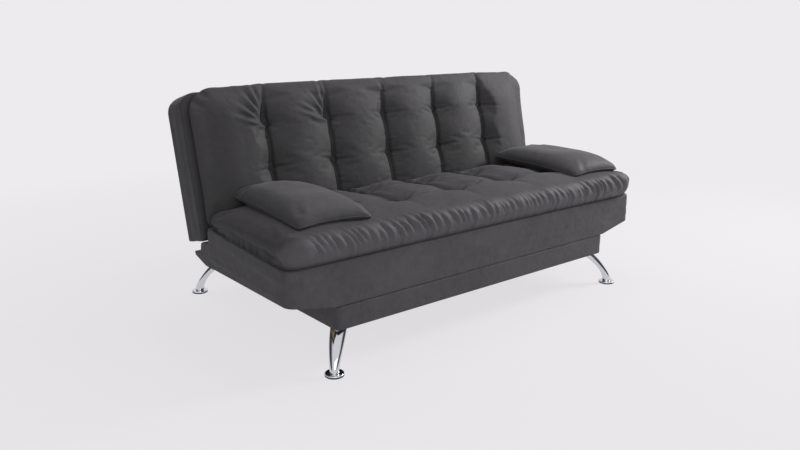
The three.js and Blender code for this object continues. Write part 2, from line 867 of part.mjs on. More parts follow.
function make_back_frame() {
  const room = panel_block(skin);
  const low = -panel_bottom_drop + skin;
  const high = panel_top_rise - skin;
  const end = panel_width / 2 - skin;
  const above = low + board_thickness + fit_gap;
  const below = high - board_thickness - fit_gap;
  const back = panel_rear_depth - skin - back_sheet_thickness - fit_gap;
  const fore = -panel_front_depth + skin + webbing_thickness + fit_gap;
  const top = room.intersect(box(-end, end, fore, back, high - board_thickness, high));
  const bottom = box(-end, end, fore, back, low, low + board_thickness)
    .subtract(hinge_slot());
  const end_upright = room.intersect(box(-end, -end + board_thickness, fore, back, above, below));
  const upright_x = -bracket_outer_x + 2 * plate_thickness + 2 * fit_gap;
  const pocket = prism_x(circle(0, 0, pin_pocket_radius, leg_sides),
    upright_x - fit_gap, upright_x + pin_pocket_depth);
  const inner_upright = room.subtract(pocket)
    .intersect(box(upright_x, upright_x + board_thickness, fore, back, above, below));
  add_timber('back_top_rail', onto_back(top));
  add_timber('back_bottom_rail', onto_back(bottom));
  add_timber('back_left_upright', onto_back(end_upright));
  add_timber('back_right_upright', onto_back(mirror_left_to_right(end_upright)));
  add_timber('back_inner_upright_left', onto_back(inner_upright));
  add_timber('back_inner_upright_right', onto_back(mirror_left_to_right(inner_upright)));
}

// The sheet behind the frame that the rear cloth is stretched over.
function make_back_sheet() {
  const low = panel_rear_depth - skin - back_sheet_thickness;
  const reach = panel_width / 2;
  const slice = box(-reach, reach, low, panel_rear_depth, -panel_bottom_drop,
    panel_top_rise - panel_rear_radius);
  add_timber('back_rear_sheet', onto_back(panel_block(skin).intersect(slice).subtract(hinge_slot())));
}

function make_back_webbing() {
  const reach = panel_width / 2 - skin;
  const near = -panel_front_depth + skin;
  for (const [index, rise] of back_webbing_rises.entries()) {
    const strap = box(-reach, reach, near, near + webbing_thickness,
      rise - webbing_width / 2, rise + webbing_width / 2);
    add(`back_webbing_${index + 1}`, onto_back(strap), webbing_colour, 0, 0.9);
  }
}

// Back cushion, padded towards the front of the panel.
function back_crown_at(u, v, low, high) {
  const in_u = rim_share(back_grid_half_width - Math.abs(u), back_crown_run);
  const in_top = rim_share(high - v, back_crown_run);
  const in_bottom = rim_share(v - low, back_crown_run_below);
  const crown = back_crown * column_share(u, back_grid_half_width);
  const dip = back_tuft_depth * tuft_dip(u, v, back_tuft_rises, back_tuft_radius);
  return crown * in_u * in_top * in_bottom - dip;
}

function make_back_cushion() {
  const low = back_grid_low;
  const high = back_grid_high;
  const base = panel_front_depth + fit_gap;
  const cushion = padded_block({
    us: column_nodes(back_grid_half_width),
    vs: evenly(low, high, back_rows),
    radius: back_cushion_radius,
    rolls: { side: back_side_roll, start: back_bottom_roll, end: back_top_roll },
    rim: () => back_rim,
    crown: (u, v) => back_crown_at(u, v, low, high),
    place: (u, v, w) => [u, -base - w, v],
  });
  add_cloth('back_cushion', onto_back(cushion));
}

// Arm pillows, flat underneath where they lie on the seat.
function pillow_point(a, b, upper) {
  const pinch_a = 1 - pillow_waist_share * (1 - b * b);
  const pinch_b = 1 - pillow_waist_share * (1 - a * a);
  const dome = ((1 - Math.abs(a) ** pillow_power) * (1 - Math.abs(b) ** pillow_power))
    ** pillow_dome_power;
  const top = (pillow_rise - pillow_rim_rise) * dome;
  const under = Math.max(-pillow_rise * pillow_under_share * dome, -pillow_rim_rise);
  return [a * pinch_a * pillow_width / 2, b * pinch_b * pillow_length / 2,
    pillow_rim_rise + (upper ? top : under)];
}

function pillow_solid() {
  const count = pillow_width_cells + 1;
  const top = [];
  const under = [];
  for (let j = 0; j <= pillow_length_cells; j += 1) {
    for (let i = 0; i <= pillow_width_cells; i += 1) {
      const a = Math.sin(Math.PI / 2 * (2 * i / pillow_width_cells - 1));
      const b = 2 * j / pillow_length_cells - 1;
      top.push(pillow_point(a, b, true));
      under.push(pillow_point(a, b, false));
    }
  }
  const faces = [];
  for (let j = 0; j < pillow_length_cells; j += 1) {
    for (let i = 0; i < pillow_width_cells; i += 1) {
      const a = j * count + i;
      const b = a + 1;
      const c = b + count;
      const d = a + count;
      const shift = top.length;
      faces.push(a, b, c, a, c, d);
      faces.push(a + shift, c + shift, b + shift, a + shift, d + shift, c + shift);
    }
  }
  return skin_of([...top, ...under], faces);
}

function make_pillows() {
  const low = seat_rim_height + seat_crown + fit_gap;
  const pillow = pillow_solid().rotate([0, 0, -pillow_turn_deg]);
  const y = front + seat_depth / 2 + pillow_setback;
  add_cloth('arm_pillow_left', pillow.translate([-seat_half + pillow_left_inset, y, low]));
  add_cloth('arm_pillow_right', pillow.translate([seat_half - pillow_right_inset, y, low]));
}

// Hinge pieces are drawn for the left side, about the pivot, then placed and mirrored.
function add_hinge_pair(name, solid) {
  const placed = solid.translate([0, hinge.y, hinge.z]);
  add_steel(`${name}_left`, placed);
  add_steel(`${name}_right`, mirror_left_to_right(placed));
}

function make_base_brackets() {
  const foot_top = base_top - hinge.z;
  const foot_low = foot_top - bracket_foot_height;
  const column = prism_x([
    [-bracket_half_foot, foot_low],
    [bracket_half_foot, foot_low],
    [bracket_half_foot, foot_top + board_thickness],
    [bracket_eye_radius, -bracket_eye_radius / 2],
    [bracket_eye_radius / 2, bracket_eye_radius / 2],
    [-bracket_eye_radius / 2, bracket_eye_radius / 2],
    [pawl_pivot_y - pawl_hub_radius / 2, pawl_pivot_z + pawl_hub_radius],
    [pawl_pivot_y - pawl_hub_radius, pawl_pivot_z - pawl_hub_radius],
    [-bracket_half_foot, foot_top + board_thickness],
  ], -bracket_outer_x, -bracket_outer_x + plate_thickness);
  const eye = prism_x(circle(0, 0, bracket_eye_radius, leg_sides * 2),
    -bracket_outer_x, -bracket_outer_x + plate_thickness);
  const pivot_hole = prism_x(circle(0, 0, pivot_radius + fit_gap, leg_sides),
    -bracket_outer_x - fit_gap, -bracket_outer_x + plate_thickness + fit_gap);
  const pawl_hole = prism_x(circle(pawl_pivot_y, pawl_pivot_z, pawl_pin_radius + fit_gap, leg_sides),
    -bracket_outer_x - fit_gap, -bracket_outer_x + plate_thickness + fit_gap);
  add_hinge_pair('hinge_base_bracket', column.add(eye).subtract(pivot_hole).subtract(pawl_hole));
}

function quadrant_notch(turn_deg) {
  const tooth = prism_x([
    [-notch_mouth_width / 2, -quadrant_radius - fit_gap],
    [notch_mouth_width / 2, -quadrant_radius - fit_gap],
    [notch_floor_width / 2, -quadrant_radius + notch_depth],
    [-notch_floor_width / 2, -quadrant_radius + notch_depth],
  ], -bracket_outer_x, -bracket_outer_x + 2 * plate_thickness + 2 * fit_gap);
  return tooth.rotate([turn_deg, 0, 0]);
}

function make_back_arms() {
  const x_start = -bracket_outer_x + plate_thickness + fit_gap;
  const x_end = x_start + plate_thickness;
  const sector = [[0, 0], ...arc(0, 0, quadrant_radius,
    -90 - quadrant_lead_deg, -90 + fold_deg + quadrant_lead_deg, arc_steps * 4)];
  const strip = prism_x([
    [-arm_half_width, -arm_half_width],
    [arm_half_width, -arm_half_width],
    [arm_half_width, arm_rise],
    [-arm_half_width, arm_rise],
  ], x_start, x_end).rotate([-back_tilt_deg, 0, 0]);
  const hole = prism_x(circle(0, 0, pivot_radius + fit_gap, leg_sides),
    x_start - fit_gap, x_end + fit_gap);
  let arm = prism_x(sector, x_start, x_end).add(strip).subtract(hole);
  for (const turn of [0, fold_deg / 2, fold_deg]) {
    arm = arm.subtract(quadrant_notch(turn));
  }
  add_hinge_pair('hinge_back_arm', arm);
}

function headed_pin(shaft_radius, head_radius, grip) {
  return turned([
    [0, -pin_head_thickness],
    [head_radius, -pin_head_thickness],
    [head_radius, 0],
    [shaft_radius, 0],
    [shaft_radius, grip],
    [head_radius, grip],
    [head_radius, grip + pin_head_thickness],
    [0, grip + pin_head_thickness],
  ], -bracket_outer_x - fit_gap, leg_sides);
}

function make_pins() {
  const stack = 2 * plate_thickness + 3 * fit_gap;
  add_hinge_pair('hinge_pivot_pin', headed_pin(pivot_radius, pivot_head_radius, stack));
  const pawl_pin = headed_pin(pawl_pin_radius, pawl_head_radius, stack + spring_length);
  add_hinge_pair('pawl_pin', pawl_pin.translate([0, pawl_pivot_y, pawl_pivot_z]));
}

function make_pawls() {
  const x_start = -bracket_outer_x + plate_thickness + fit_gap;
  const x_end = x_start + plate_thickness;
  const lever = prism_x([
    [0, -pawl_hub_radius],
    [pawl_nose_rear, -pawl_back],
    [pawl_nose_rear, pawl_nose_height],
    [pawl_nose_front, pawl_nose_height],
    [pawl_nose_front, -pawl_shoulder],
    [pawl_neck_y, -pawl_shoulder],
    [pawl_neck_start, pawl_neck_height],
    [0, pawl_hub_radius],
  ], x_start, x_end);
  const hub = prism_x(circle(0, 0, pawl_hub_radius, leg_sides), x_start, x_end);
  const hole = prism_x(circle(0, 0, pawl_pin_radius + fit_gap, leg_sides),
    x_start - fit_gap, x_end + fit_gap);
  const pawl = lever.add(hub).subtract(hole).rotate([-pawl_lift_deg, 0, 0])
    .translate([0, pawl_pivot_y, pawl_pivot_z]);
  add_hinge_pair('pawl', pawl);
}

// A torsion spring round the pawl pin, with one straight leg at each end.
class SpringLine extends THREE.Curve {
  getPoint(share) {
    const pitch = (spring_length - 4 * spring_wire_radius) / spring_curls;
    const curl_share = 1 / (1 + 2 * spring_leg / (2 * Math.PI * spring_coil_radius * spring_curls));
    const leg_share = (1 - curl_share) / 2;
    const turn = THREE.MathUtils.clamp((share - leg_share) / curl_share, 0, 1) * spring_curls;
    const angle = 2 * Math.PI * turn;
    const point = new THREE.Vector3(pitch * turn, spring_coil_radius * Math.cos(angle),
      spring_coil_radius * Math.sin(angle));
    const before = Math.max(leg_share - share, 0) / leg_share * spring_leg;
    const after = Math.max(share - 1 + leg_share, 0) / leg_share * spring_leg;
    const along = after - before;
    point.y -= Math.sin(angle) * along;
    point.z += Math.cos(angle) * along;
    return point;
  }
}

function spring_gap(points) {
  const near = spring_coil_radius;
  let least = Infinity;
  for (let i = 0; i < points.length; i += 1) {
    for (let j = i + 1; j < points.length; j += 1) {
      const along = (j - i) / points.length * spring_path_length();
      if (along > near) {
        least = Math.min(least, points[i].distanceTo(points[j]) - 2 * spring_wire_radius);
      }
    }
  }
  return least;
}

function spring_path_length() {
  return 2 * Math.PI * spring_coil_radius * spring_curls + 2 * spring_leg;
}

function make_springs() {
  const path = new SpringLine();
  const ring = circle(0, 0, spring_wire_radius, spring_sides)
    .map(([a, b]) => new THREE.Vector2(a, b));
  const steps = Math.round(spring_steps * (spring_curls + 1));
  const geometry = new THREE.ExtrudeGeometry(new THREE.Shape(ring),
    { steps, bevelEnabled: false, extrudePath: path });
  console.log('least gap between spring turns, mm:', spring_gap(path.getPoints(steps * 8)));
  const start = -bracket_outer_x + 2 * plate_thickness + 2 * fit_gap + 2 * spring_wire_radius;
  const spring = solid_of(geometry).translate([start, hinge.y + pawl_pivot_y, hinge.z + pawl_pivot_z]);
  add('pawl_spring_left', spring, spring_colour, 0.9, 0.35);
  add('pawl_spring_right', mirror_left_to_right(spring), spring_colour, 0.9, 0.35);
}

make_base_rails();
make_base_top_board();
make_base_cover();
make_dust_cover();
make_legs();
make_seat_boards();
make_seat_end_panels();
make_seat_webbing();
make_seat_foam();
make_seat_cover();
make_seat_cushion();
make_base_brackets();
make_back_arms();
make_pins();
make_pawls();
make_springs();
make_back_frame();
make_back_sheet();
make_back_webbing();
make_back_cover();
make_back_cushion();
make_pillows();

export default sofa;
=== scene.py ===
import math

import bmesh
import bpy
import numpy as np
from mathutils import Matrix, Vector


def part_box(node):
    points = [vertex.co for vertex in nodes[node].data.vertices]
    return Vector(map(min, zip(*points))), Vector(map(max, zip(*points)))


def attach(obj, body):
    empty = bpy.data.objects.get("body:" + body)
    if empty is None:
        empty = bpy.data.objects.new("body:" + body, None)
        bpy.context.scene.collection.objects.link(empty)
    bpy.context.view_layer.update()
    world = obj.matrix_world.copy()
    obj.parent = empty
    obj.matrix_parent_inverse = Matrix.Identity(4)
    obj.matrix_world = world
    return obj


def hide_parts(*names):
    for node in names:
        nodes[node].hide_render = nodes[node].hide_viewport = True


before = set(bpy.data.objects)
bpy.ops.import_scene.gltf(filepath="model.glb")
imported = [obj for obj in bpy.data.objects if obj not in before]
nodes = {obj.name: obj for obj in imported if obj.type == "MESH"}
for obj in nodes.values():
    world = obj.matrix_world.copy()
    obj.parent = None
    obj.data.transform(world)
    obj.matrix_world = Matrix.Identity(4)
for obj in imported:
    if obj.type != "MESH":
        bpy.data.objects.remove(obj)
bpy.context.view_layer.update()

# The room: a pale floor that fades into a pale wall, seen from the front left, above the seat.
# Soft lamps stand to the right and overhead, so the left end of the sofa lies in half shade.
camera_data = bpy.data.cameras.new("view_from_front_left")
camera_data.lens = 33.56
camera_data.sensor_width = 36
camera = bpy.data.objects.new("view_from_front_left", camera_data)
camera.location = (-1.9989, -2.4150, 1.1179)
look_down, look_right = 14.8978, 39.0608
camera.rotation_euler = (math.radians(90 - look_down), 0, math.radians(-look_right))
bpy.context.collection.objects.link(camera)
bpy.context.scene.camera = camera
bpy.context.scene.view_settings.view_transform = "Standard"


class Flow:
    """A value in a node tree, on which arithmetic is written as arithmetic."""

    def __init__(self, tree, socket):
        self.tree = tree
        self.socket = socket

    def node(self, kind, inputs, output=0, **settings):
        made = self.tree.nodes.new(kind)
        for name, value in settings.items():
            setattr(made, name, value)
        for key, value in inputs.items():
            if isinstance(value, Flow):
                self.tree.links.new(value.socket, made.inputs[key])
            else:
                made.inputs[key].default_value = value
        return Flow(self.tree, made.outputs[output]) if made.outputs else None

    def maths(self, operation, first, second=0.0):
        return self.node("ShaderNodeMath", {0: first, 1: second}, operation=operation)

    def __add__(self, other):
        return self.maths("ADD", self, other)

    def __radd__(self, other):
        return self.maths("ADD", other, self)

    def __sub__(self, other):
        return self.maths("SUBTRACT", self, other)

    def __rsub__(self, other):
        return self.maths("SUBTRACT", other, self)

    def __mul__(self, other):
        return self.maths("MULTIPLY", self, other)

    def __rmul__(self, other):
        return self.maths("MULTIPLY", other, self)

    def between(self, low, high):
        return self.node("ShaderNodeMapRange", {0: self, 1: low, 2: high})

    def blend(self, start, end):
        return self.node("ShaderNodeMix", {0: self, 6: start, 7: end}, output=2,
                         data_type="RGBA")

    def stretched(self, x, y, z):
        return self.node("ShaderNodeVectorMath", {0: self, 1: (x, y, z)},
                         operation="MULTIPLY")

    def grain(self, scale, detail=2.0, distortion=0.0):
        return self.node("ShaderNodeTexNoise", {"Vector": self, "Scale": scale,
                                                "Detail": detail, "Distortion": distortion})

    def relief(self, strength, depth):
        return self.node("ShaderNodeBump", {"Height": self, "Strength": strength,
                                            "Distance": depth})

    def finish(self, values):
        self.node("ShaderNodeOutputMaterial",
                  {"Surface": self.node("ShaderNodeBsdfPrincipled", values)})


def colour(red, green, blue):
    """A colour as the eye reads it, from 0 to 255, turned to light levels."""
    levels = [channel / 255 for channel in (red, green, blue)]
    return (*[level / 12.92 if level < 0.04045 else ((level + 0.055) / 1.055) ** 2.4
              for level in levels], 1.0)


def new_material(name):
    material = bpy.data.materials.new(name)
    material.use_nodes = True
    material.node_tree.nodes.clear()
    place = material.node_tree.nodes.new("ShaderNodeTexCoord")
    return material, Flow(material.node_tree, place.outputs["Object"])


def seen_rays(tree):
    """1 on rays from the camera, a reflection or glass, and 1 on the reflected ones alone."""
    rays = tree.nodes.new("ShaderNodeLightPath").outputs
    direct, glossy, through = [Flow(tree, rays["Is " + kind + " Ray"])
                               for kind in ("Camera", "Glossy", "Transmission")]
    seen = direct.maths("MAXIMUM", direct, glossy)
    return seen.maths("MAXIMUM", seen, through), glossy


pale = colour(237, 235, 238)
floor_material, floor_place = new_material("pale_floor")
seen, _ = seen_rays(floor_material.node_tree)
distance = floor_place.node("ShaderNodeVectorMath", {0: floor_place}, output=1, operation="LENGTH")
matt = floor_place.node("ShaderNodeBsdfDiffuse", {"Color": colour(228, 227, 229)})
bright = floor_place.node("ShaderNodeEmission", {"Color": pale, "Strength": 1.0})
share = seen * (0.84 + 0.16 * distance.between(1.0, 3.6))
mixed = floor_place.node("ShaderNodeMixShader", {0: share, 1: matt, 2: bright})
floor_place.node("ShaderNodeOutputMaterial", {"Surface": mixed})

floor_mesh = bpy.data.meshes.new("floor")
floor_reach = 40
floor_corners = [(-1, -1), (1, -1), (1, 1), (-1, 1)]
floor_mesh.from_pydata([(x * floor_reach, y * floor_reach, 0) for x, y in floor_corners],
                       [], [(0, 1, 2, 3)])
floor_mesh.materials.append(floor_material)
floor = bpy.data.objects.new("floor", floor_mesh)
bpy.context.collection.objects.link(floor)

world = bpy.data.worlds.new("pale_room")
world.use_nodes = True
bpy.context.scene.world = world
world.node_tree.nodes.clear()
seen, glossy = seen_rays(world.node_tree)
# Reflections alone see the world darker on two opposite sides: a painted reflection for the chrome
# legs.
toward = seen.node("ShaderNodeTexCoord", {})
painted_reflection_bands = toward.node("ShaderNodeVectorMath", {0: toward, 1: (0.78, -0.63, 0)}, output=1,
                     operation="DOT_PRODUCT")
painted_reflection_bands = painted_reflection_bands.maths("ABSOLUTE", painted_reflection_bands).between(0.60, 0.82) * glossy
wall_and_painted_reflection = painted_reflection_bands.blend(pale, colour(70, 70, 74))
ambient = seen.node("ShaderNodeBackground", {"Color": (1, 1, 1, 1), "Strength": 0.24})
backdrop = seen.node("ShaderNodeBackground", {"Color": wall_and_painted_reflection, "Strength": 1.0})
mixed = seen.node("ShaderNodeMixShader", {0: seen, 1: ambient, 2: backdrop})
seen.node("ShaderNodeOutputWorld", {"Surface": mixed})


def soft_lamp(name, place, aim, width, height, watts):
    lamp_data = bpy.data.lights.new(name, "AREA")
    lamp_data.shape = "RECTANGLE"
    lamp_data.size = width
    lamp_data.size_y = height
    lamp_data.energy = watts
    lamp = bpy.data.objects.new(name, lamp_data)
    lamp.location = place
    lamp.rotation_euler = (Vector(aim) - Vector(place)).to_track_quat("-Z", "Y").to_euler()
    bpy.context.collection.objects.link(lamp)


soft_lamp("lamp_right", (3.4, -1.2, 2.2), (0.1, -0.1, 0.4), 1.1, 1.1, 112)
soft_lamp("lamp_overhead", (0.4, 0.3, 3.4), (0, -0.1, 0.4), 2.2, 1.2, 26)
soft_lamp("lamp_left", (-2.2, -3.6, 1.6), (0, 0, 0.4), 2.2, 1.6, 26)

# The base box: softwood rails, corner blocks and a plywood top board, glued and screwed.
# The timber is plain sawn pine; the top board shows behind the back, so it is painted near black
# as painted shade.


def straight_grain(name, along, light, dark):
    material, place = new_material(name)
    stretch = [9.0, 9.0, 9.0]
    stretch[along] = 0.8
    fibres = place.stretched(*stretch)
    rings = fibres.grain(3.0, 3.0, 0.6)
    bands = rings.maths("FRACT", rings * 7.0)
    bands = bands.maths("ABSOLUTE", bands - 0.5) * 2.0
    pores = fibres.grain(60.0, 2.0)
    tone = bands.blend(light, dark)
    tone = (0.35 * pores).blend(tone, dark)
    place.finish({"Base Color": tone, "Roughness": 0.62 + 0.2 * pores,
                  "Normal": (bands * 0.4 + pores * 0.6).relief(0.6, 0.0006),
                  "Specular IOR Level": 0.35})
    return material


pine_light = colour(214, 184, 140)
pine_dark = colour(178, 136, 88)
pine_across = straight_grain("sawn_pine_across", 0, pine_light, pine_dark)
pine_deep = straight_grain("sawn_pine_front_to_back", 1, pine_light, pine_dark)
pine_upright = straight_grain("sawn_pine_upright", 2, pine_light, pine_dark)
plywood = straight_grain("birch_plywood", 0, colour(222, 200, 162), colour(196, 166, 120))


def finish_nodes(material, slot, *names):
    for name in names:
        nodes[name].material_slots[0].material = material


finish_nodes(pine_across, "timber", "base_front_rail", "base_rear_rail")
finish_nodes(pine_deep, "timber", "base_left_rail", "base_right_rail", "base_centre_rail")
finish_nodes(pine_upright, "timber", "base_block_front_left", "base_block_front_right",
             "base_block_rear_left", "base_block_rear_right")
# The top board's colour is painted near black, as painted shade where it shows through the gaps.
plywood_painted_shade = straight_grain("plywood_painted_black_as_shade", 0, colour(58, 55, 53),
                                 colour(40, 38, 37))
finish_nodes(plywood_painted_shade, "timber", "base_top_board")

# The dust cover closes the underside: thin black spun cloth, stapled along its edges.
# The staples are steel, in a row round the edge, and miss the four leg plates.
spun_cloth, place = new_material("black_spun_cloth")
dots = place.node("ShaderNodeTexVoronoi", {"Vector": place, "Scale": 420.0,
                                           "Randomness": 0.2})
strands = place.grain(180.0, 4.0, 1.5)
place.finish({"Base Color": strands.blend(colour(24, 24, 26), colour(52, 52, 56)),
              "Roughness": 0.8 + 0.15 * dots, "Specular IOR Level": 0.2,
              "Normal": (dots + 0.6 * strands).relief(0.5, 0.0003)})
finish_nodes(spun_cloth, "dust_cloth", "base_dust_cover")

bare_steel, place = new_material("bright_steel_wire")
smear = place.stretched(1, 1, 6).grain(140.0, 3.0)
place.finish({"Base Color": smear.blend(colour(170, 172, 176), colour(206, 208, 212)),
              "Roughness": 0.28 + 0.16 * smear, "Metallic": 1.0})


def geometry_tree(name, inputs):
    """A Geometry Nodes tree with named inputs, and those inputs as flows."""
    tree = bpy.data.node_groups.new(name, "GeometryNodeTree")
    tree.interface.new_socket("Geometry", in_out="OUTPUT", socket_type="NodeSocketGeometry")
    tree.interface.new_socket("Geometry", in_out="INPUT", socket_type="NodeSocketGeometry")
    for label, kind in inputs.items():
        tree.interface.new_socket(label, in_out="INPUT", socket_type=kind)
    entry = tree.nodes.new("NodeGroupInput")
    return tree, {socket.name: Flow(tree, socket) for socket in entry.outputs if socket.name}


def close_tree(shape, material):
    plain = shape.node("GeometryNodeRealizeInstances", {0: shape})
    painted = plain.node("GeometryNodeSetMaterial", {"Geometry": plain, "Material": material})
    painted.node("NodeGroupOutput", {0: painted})


def object_of(name, mesh):
    made = bpy.data.objects.new(name, mesh)
    bpy.context.collection.objects.link(made)
    return made


def grown(name, carrier_mesh, tree, values):
    """The plain mesh that a Geometry Nodes tree grows on a carrier."""
    carrier = object_of(name + "_carrier", carrier_mesh)
    modifier = carrier.modifiers.new(name, "NODES")
    modifier.node_group = tree
    for item in tree.interface.items_tree:
        if item.in_out == "INPUT" and item.name in values:
            modifier[item.identifier] = values[item.name]
    carrier.update_tag()
    bpy.context.view_layer.update()
    shown = carrier.evaluated_get(bpy.context.evaluated_depsgraph_get())
    mesh = bpy.data.meshes.new_from_object(shown)
    mesh.name = name
    carrier.modifiers.clear()
    bpy.data.objects.remove(carrier)
    return object_of(name, mesh)


def points_mesh(name, places, alongs):
    """Loose points, each with the direction that a fixing there faces."""
    mesh = bpy.data.meshes.new(name)
    mesh.from_pydata(places, [], [])
    facing = mesh.attributes.new("facing", "FLOAT_VECTOR", "POINT")
    facing.data.foreach_set("vector", np.array(alongs, np.float32).ravel())
    return mesh


staple_tree, inlet = geometry_tree("staples_on_points", {
    "Width": "NodeSocketFloat", "Wire": "NodeSocketFloat", "Material": "NodeSocketMaterial"})
size = inlet["Width"].node("ShaderNodeCombineXYZ", {0: inlet["Width"], 1: inlet["Wire"],
                                                    2: inlet["Wire"]})
crown = size.node("GeometryNodeMeshCube", {"Size": size, "Vertices X": 6, "Vertices Y": 3,
                                           "Vertices Z": 3})
rounded = crown.node("GeometryNodeSubdivisionSurface", {"Mesh": crown, "Level": 1})
facing = rounded.node("GeometryNodeInputNamedAttribute", {"Name": "facing"},
                      data_type="FLOAT_VECTOR")
turn = facing.node("FunctionNodeAlignRotationToVector", {"Vector": facing}, axis="X")
set_out = turn.node("GeometryNodeInstanceOnPoints", {
    "Points": inlet["Geometry"], "Instance": rounded, "Rotation": turn})
close_tree(set_out, inlet["Material"])

dust_low, dust_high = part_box("base_dust_cover")
plate_reach, side_reach = 0.105, 0.125
staple_pitch, staple_inset = 0.052, 0.007
across = np.arange(dust_low.x + plate_reach, dust_high.x - plate_reach, staple_pitch)
deep = np.arange(dust_low.y + side_reach, dust_high.y - side_reach, staple_pitch)
places, alongs = [], []
for edge, side in ((dust_low, 1), (dust_high, -1)):
    places += [(x, edge.y + side * staple_inset, dust_low.z) for x in across]
    places += [(edge.x + side * staple_inset, y, dust_low.z) for y in deep]
    alongs += [(1, 0, 0)] * len(across) + [(0, 1, 0)] * len(deep)
staples = grown("dust_cover_staples", points_mesh("staple_points", places, alongs),
                staple_tree, {"Width": 0.011, "Wire": 0.0012, "Material": bare_steel})
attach(staples, "base")

# The base cover: charcoal suede cloth over thin wadding, pulled round the base box.
# It turns under at the bottom in a hem and shows slack ripples between its corners.


def suede(name, shade, slack_share=1.0, painted_light=False):
    """Brushed charcoal suede: a short nap that lies in patches, over fine fibres."""
    material, place = new_material(name)
    patches = place.grain(4.0, 3.0, 0.6)
    strokes = place.grain(26.0, 4.0, 0.9)
    fibres = place.grain(900.0, 2.0)
    weave = place.grain(330.0, 1.0)
    light = colour(*[channel * 1.16 for channel in shade])
    dark = colour(*[channel * 0.86 for channel in shade])
    tone = (0.4 * patches + 0.3 * strokes + 0.3 * fibres).between(0.3, 0.7)
    cover = tone.blend(dark, light)
    # Where the piece marks them, painted shade darkens the colour to 0.45 of the shade and painted
    # light lifts it to 1.32 of it.
    if painted_light:
        for mark, change in (("painted_shade", 0.45), ("painted_light", 1.32)):
            share = place.node("ShaderNodeAttribute", {}, 2, attribute_name=mark)
            cover = share.blend(cover, colour(*[channel * change for channel in shade]))
    slack = place.grain(15.0, 2.0, 0.5)
    height = slack * (0.8 * slack_share) + strokes * 0.2 + weave * 0.05 + fibres * 0.03
    place.finish({"Base Color": cover, "Roughness": 0.56 + 0.18 * patches,
                  "Normal": height.relief(1.0, 0.006),
                  "Specular IOR Level": 0.16 if painted_light else 0.3,
                  "Sheen Weight": 0.06 if painted_light else 0.16, "Sheen Roughness": 0.3,
                  "Sheen Tint": (0.8, 0.79, 0.82, 1)})
    return material


box_cloth = suede("charcoal_suede_box", (80, 78, 81))


def skin(name, points, faces, material):
    """A smooth piece of the given points and faces."""
    mesh = bpy.data.meshes.new(name)
    mesh.from_pydata(np.asarray(points).tolist(), [], faces)
    mesh.materials.append(material)
    mesh.shade_smooth()
    return object_of(name, mesh)


def at_height(flat, height):
    """Points of a plan, lifted to a height."""
    return np.column_stack([flat, np.full(len(flat), height)])


def length_along(loop):
    return np.concatenate([[0], np.cumsum(np.linalg.norm(np.diff(loop, axis=0), axis=1))])


def ring_faces(rings, count, closed_start=False, closed_end=False):
    """Quads that join rings of equal counts, and fans on extra middle points."""
    faces = []
    for ring in range(rings - 1):
        for k in range(count):
            after = (k + 1) % count
            faces.append((ring * count + k, ring * count + after,
                          (ring + 1) * count + after, (ring + 1) * count + k))
    middle = rings * count
    if closed_start:
        faces += [(middle, (k + 1) % count, k) for k in range(count)]
        middle += 1
    if closed_end:
        last = (rings - 1) * count
        faces += [(middle, last + k, last + (k + 1) % count) for k in range(count)]
    return faces


def eased(part):
    return part * part * (3 - 2 * part)


def soft_noise(a, b, seed):
    """Smooth random hills and hollows over two numbers, from -1 to 1."""
    heights = np.random.default_rng(seed).random((64, 64))
    cell_a, cell_b = np.floor(a).astype(int), np.floor(b).astype(int)
    part_a, part_b = eased(a - cell_a), eased(b - cell_b)
    low = (heights[cell_a % 64, cell_b % 64] * (1 - part_a)
           + heights[(cell_a + 1) % 64, cell_b % 64] * part_a)
    high = (heights[cell_a % 64, (cell_b + 1) % 64] * (1 - part_a)
            + heights[(cell_a + 1) % 64, (cell_b + 1) % 64] * part_a)
    return (low * (1 - part_b) + high * part_b) * 2 - 1


def rounded_loop(half_x, y_low, y_high, low_radius, high_radius, pitch):
    """Points and outward directions round a rounded rectangle, from the front left."""
    low, high = low_radius, high_radius
    corners = [(-half_x + low, y_low + low, low, 180), (half_x - low, y_low + low, low, 270),
               (half_x - high, y_high - high, high, 0), (-half_x + high, y_high - high, high, 90)]
    places, outs = [], []
    for index, (x, y, radius, start) in enumerate(corners):
        steps = max(3, round(radius * math.pi / 2 / pitch))
        for step in range(steps + 1):
            angle = math.radians(start + 90 * step / steps)
            outs.append((math.cos(angle), math.sin(angle)))
            places.append((x + radius * math.cos(angle), y + radius * math.sin(angle)))
        following = corners[(index + 1) % 4]
        end_out = outs[-1]
        reach = following[2]
        target = (following[0] + reach * end_out[0], following[1] + reach * end_out[1])
        begin = places[-1]
        length = math.dist(begin, target)
        for step in range(1, round(length / pitch)):
            part = step / round(length / pitch)
            places.append((begin[0] + (target[0] - begin[0]) * part,
                           begin[1] + (target[1] - begin[1]) * part))
            outs.append(end_out)
    return np.array(places), np.array(outs)


def drawn_in(loop, inset):
    """A rounded loop pulled in on all sides, so that its corners never cross."""
    low, high = loop.min(0), loop.max(0)
    middle, half = (low + high) / 2, (high - low) / 2
    return middle + (loop - middle) * (1 - inset / half)


def thicken(piece, thickness):
    """Gives an open skin its cloth thickness, inwards."""
    wall_and_painted_reflection = piece.modifiers.new("cloth_thickness", "SOLIDIFY")
    wall_and_painted_reflection.thickness = thickness
    wall_and_painted_reflection.offset = -1
    settle(piece)


def settle(piece):
    """Turns a piece with its modifiers into one plain mesh."""
    bpy.context.view_layer.update()
    shown = piece.evaluated_get(bpy.context.evaluated_depsgraph_get())
    mesh = bpy.data.meshes.new_from_object(shown)
    piece.modifiers.clear()
    piece.data = mesh


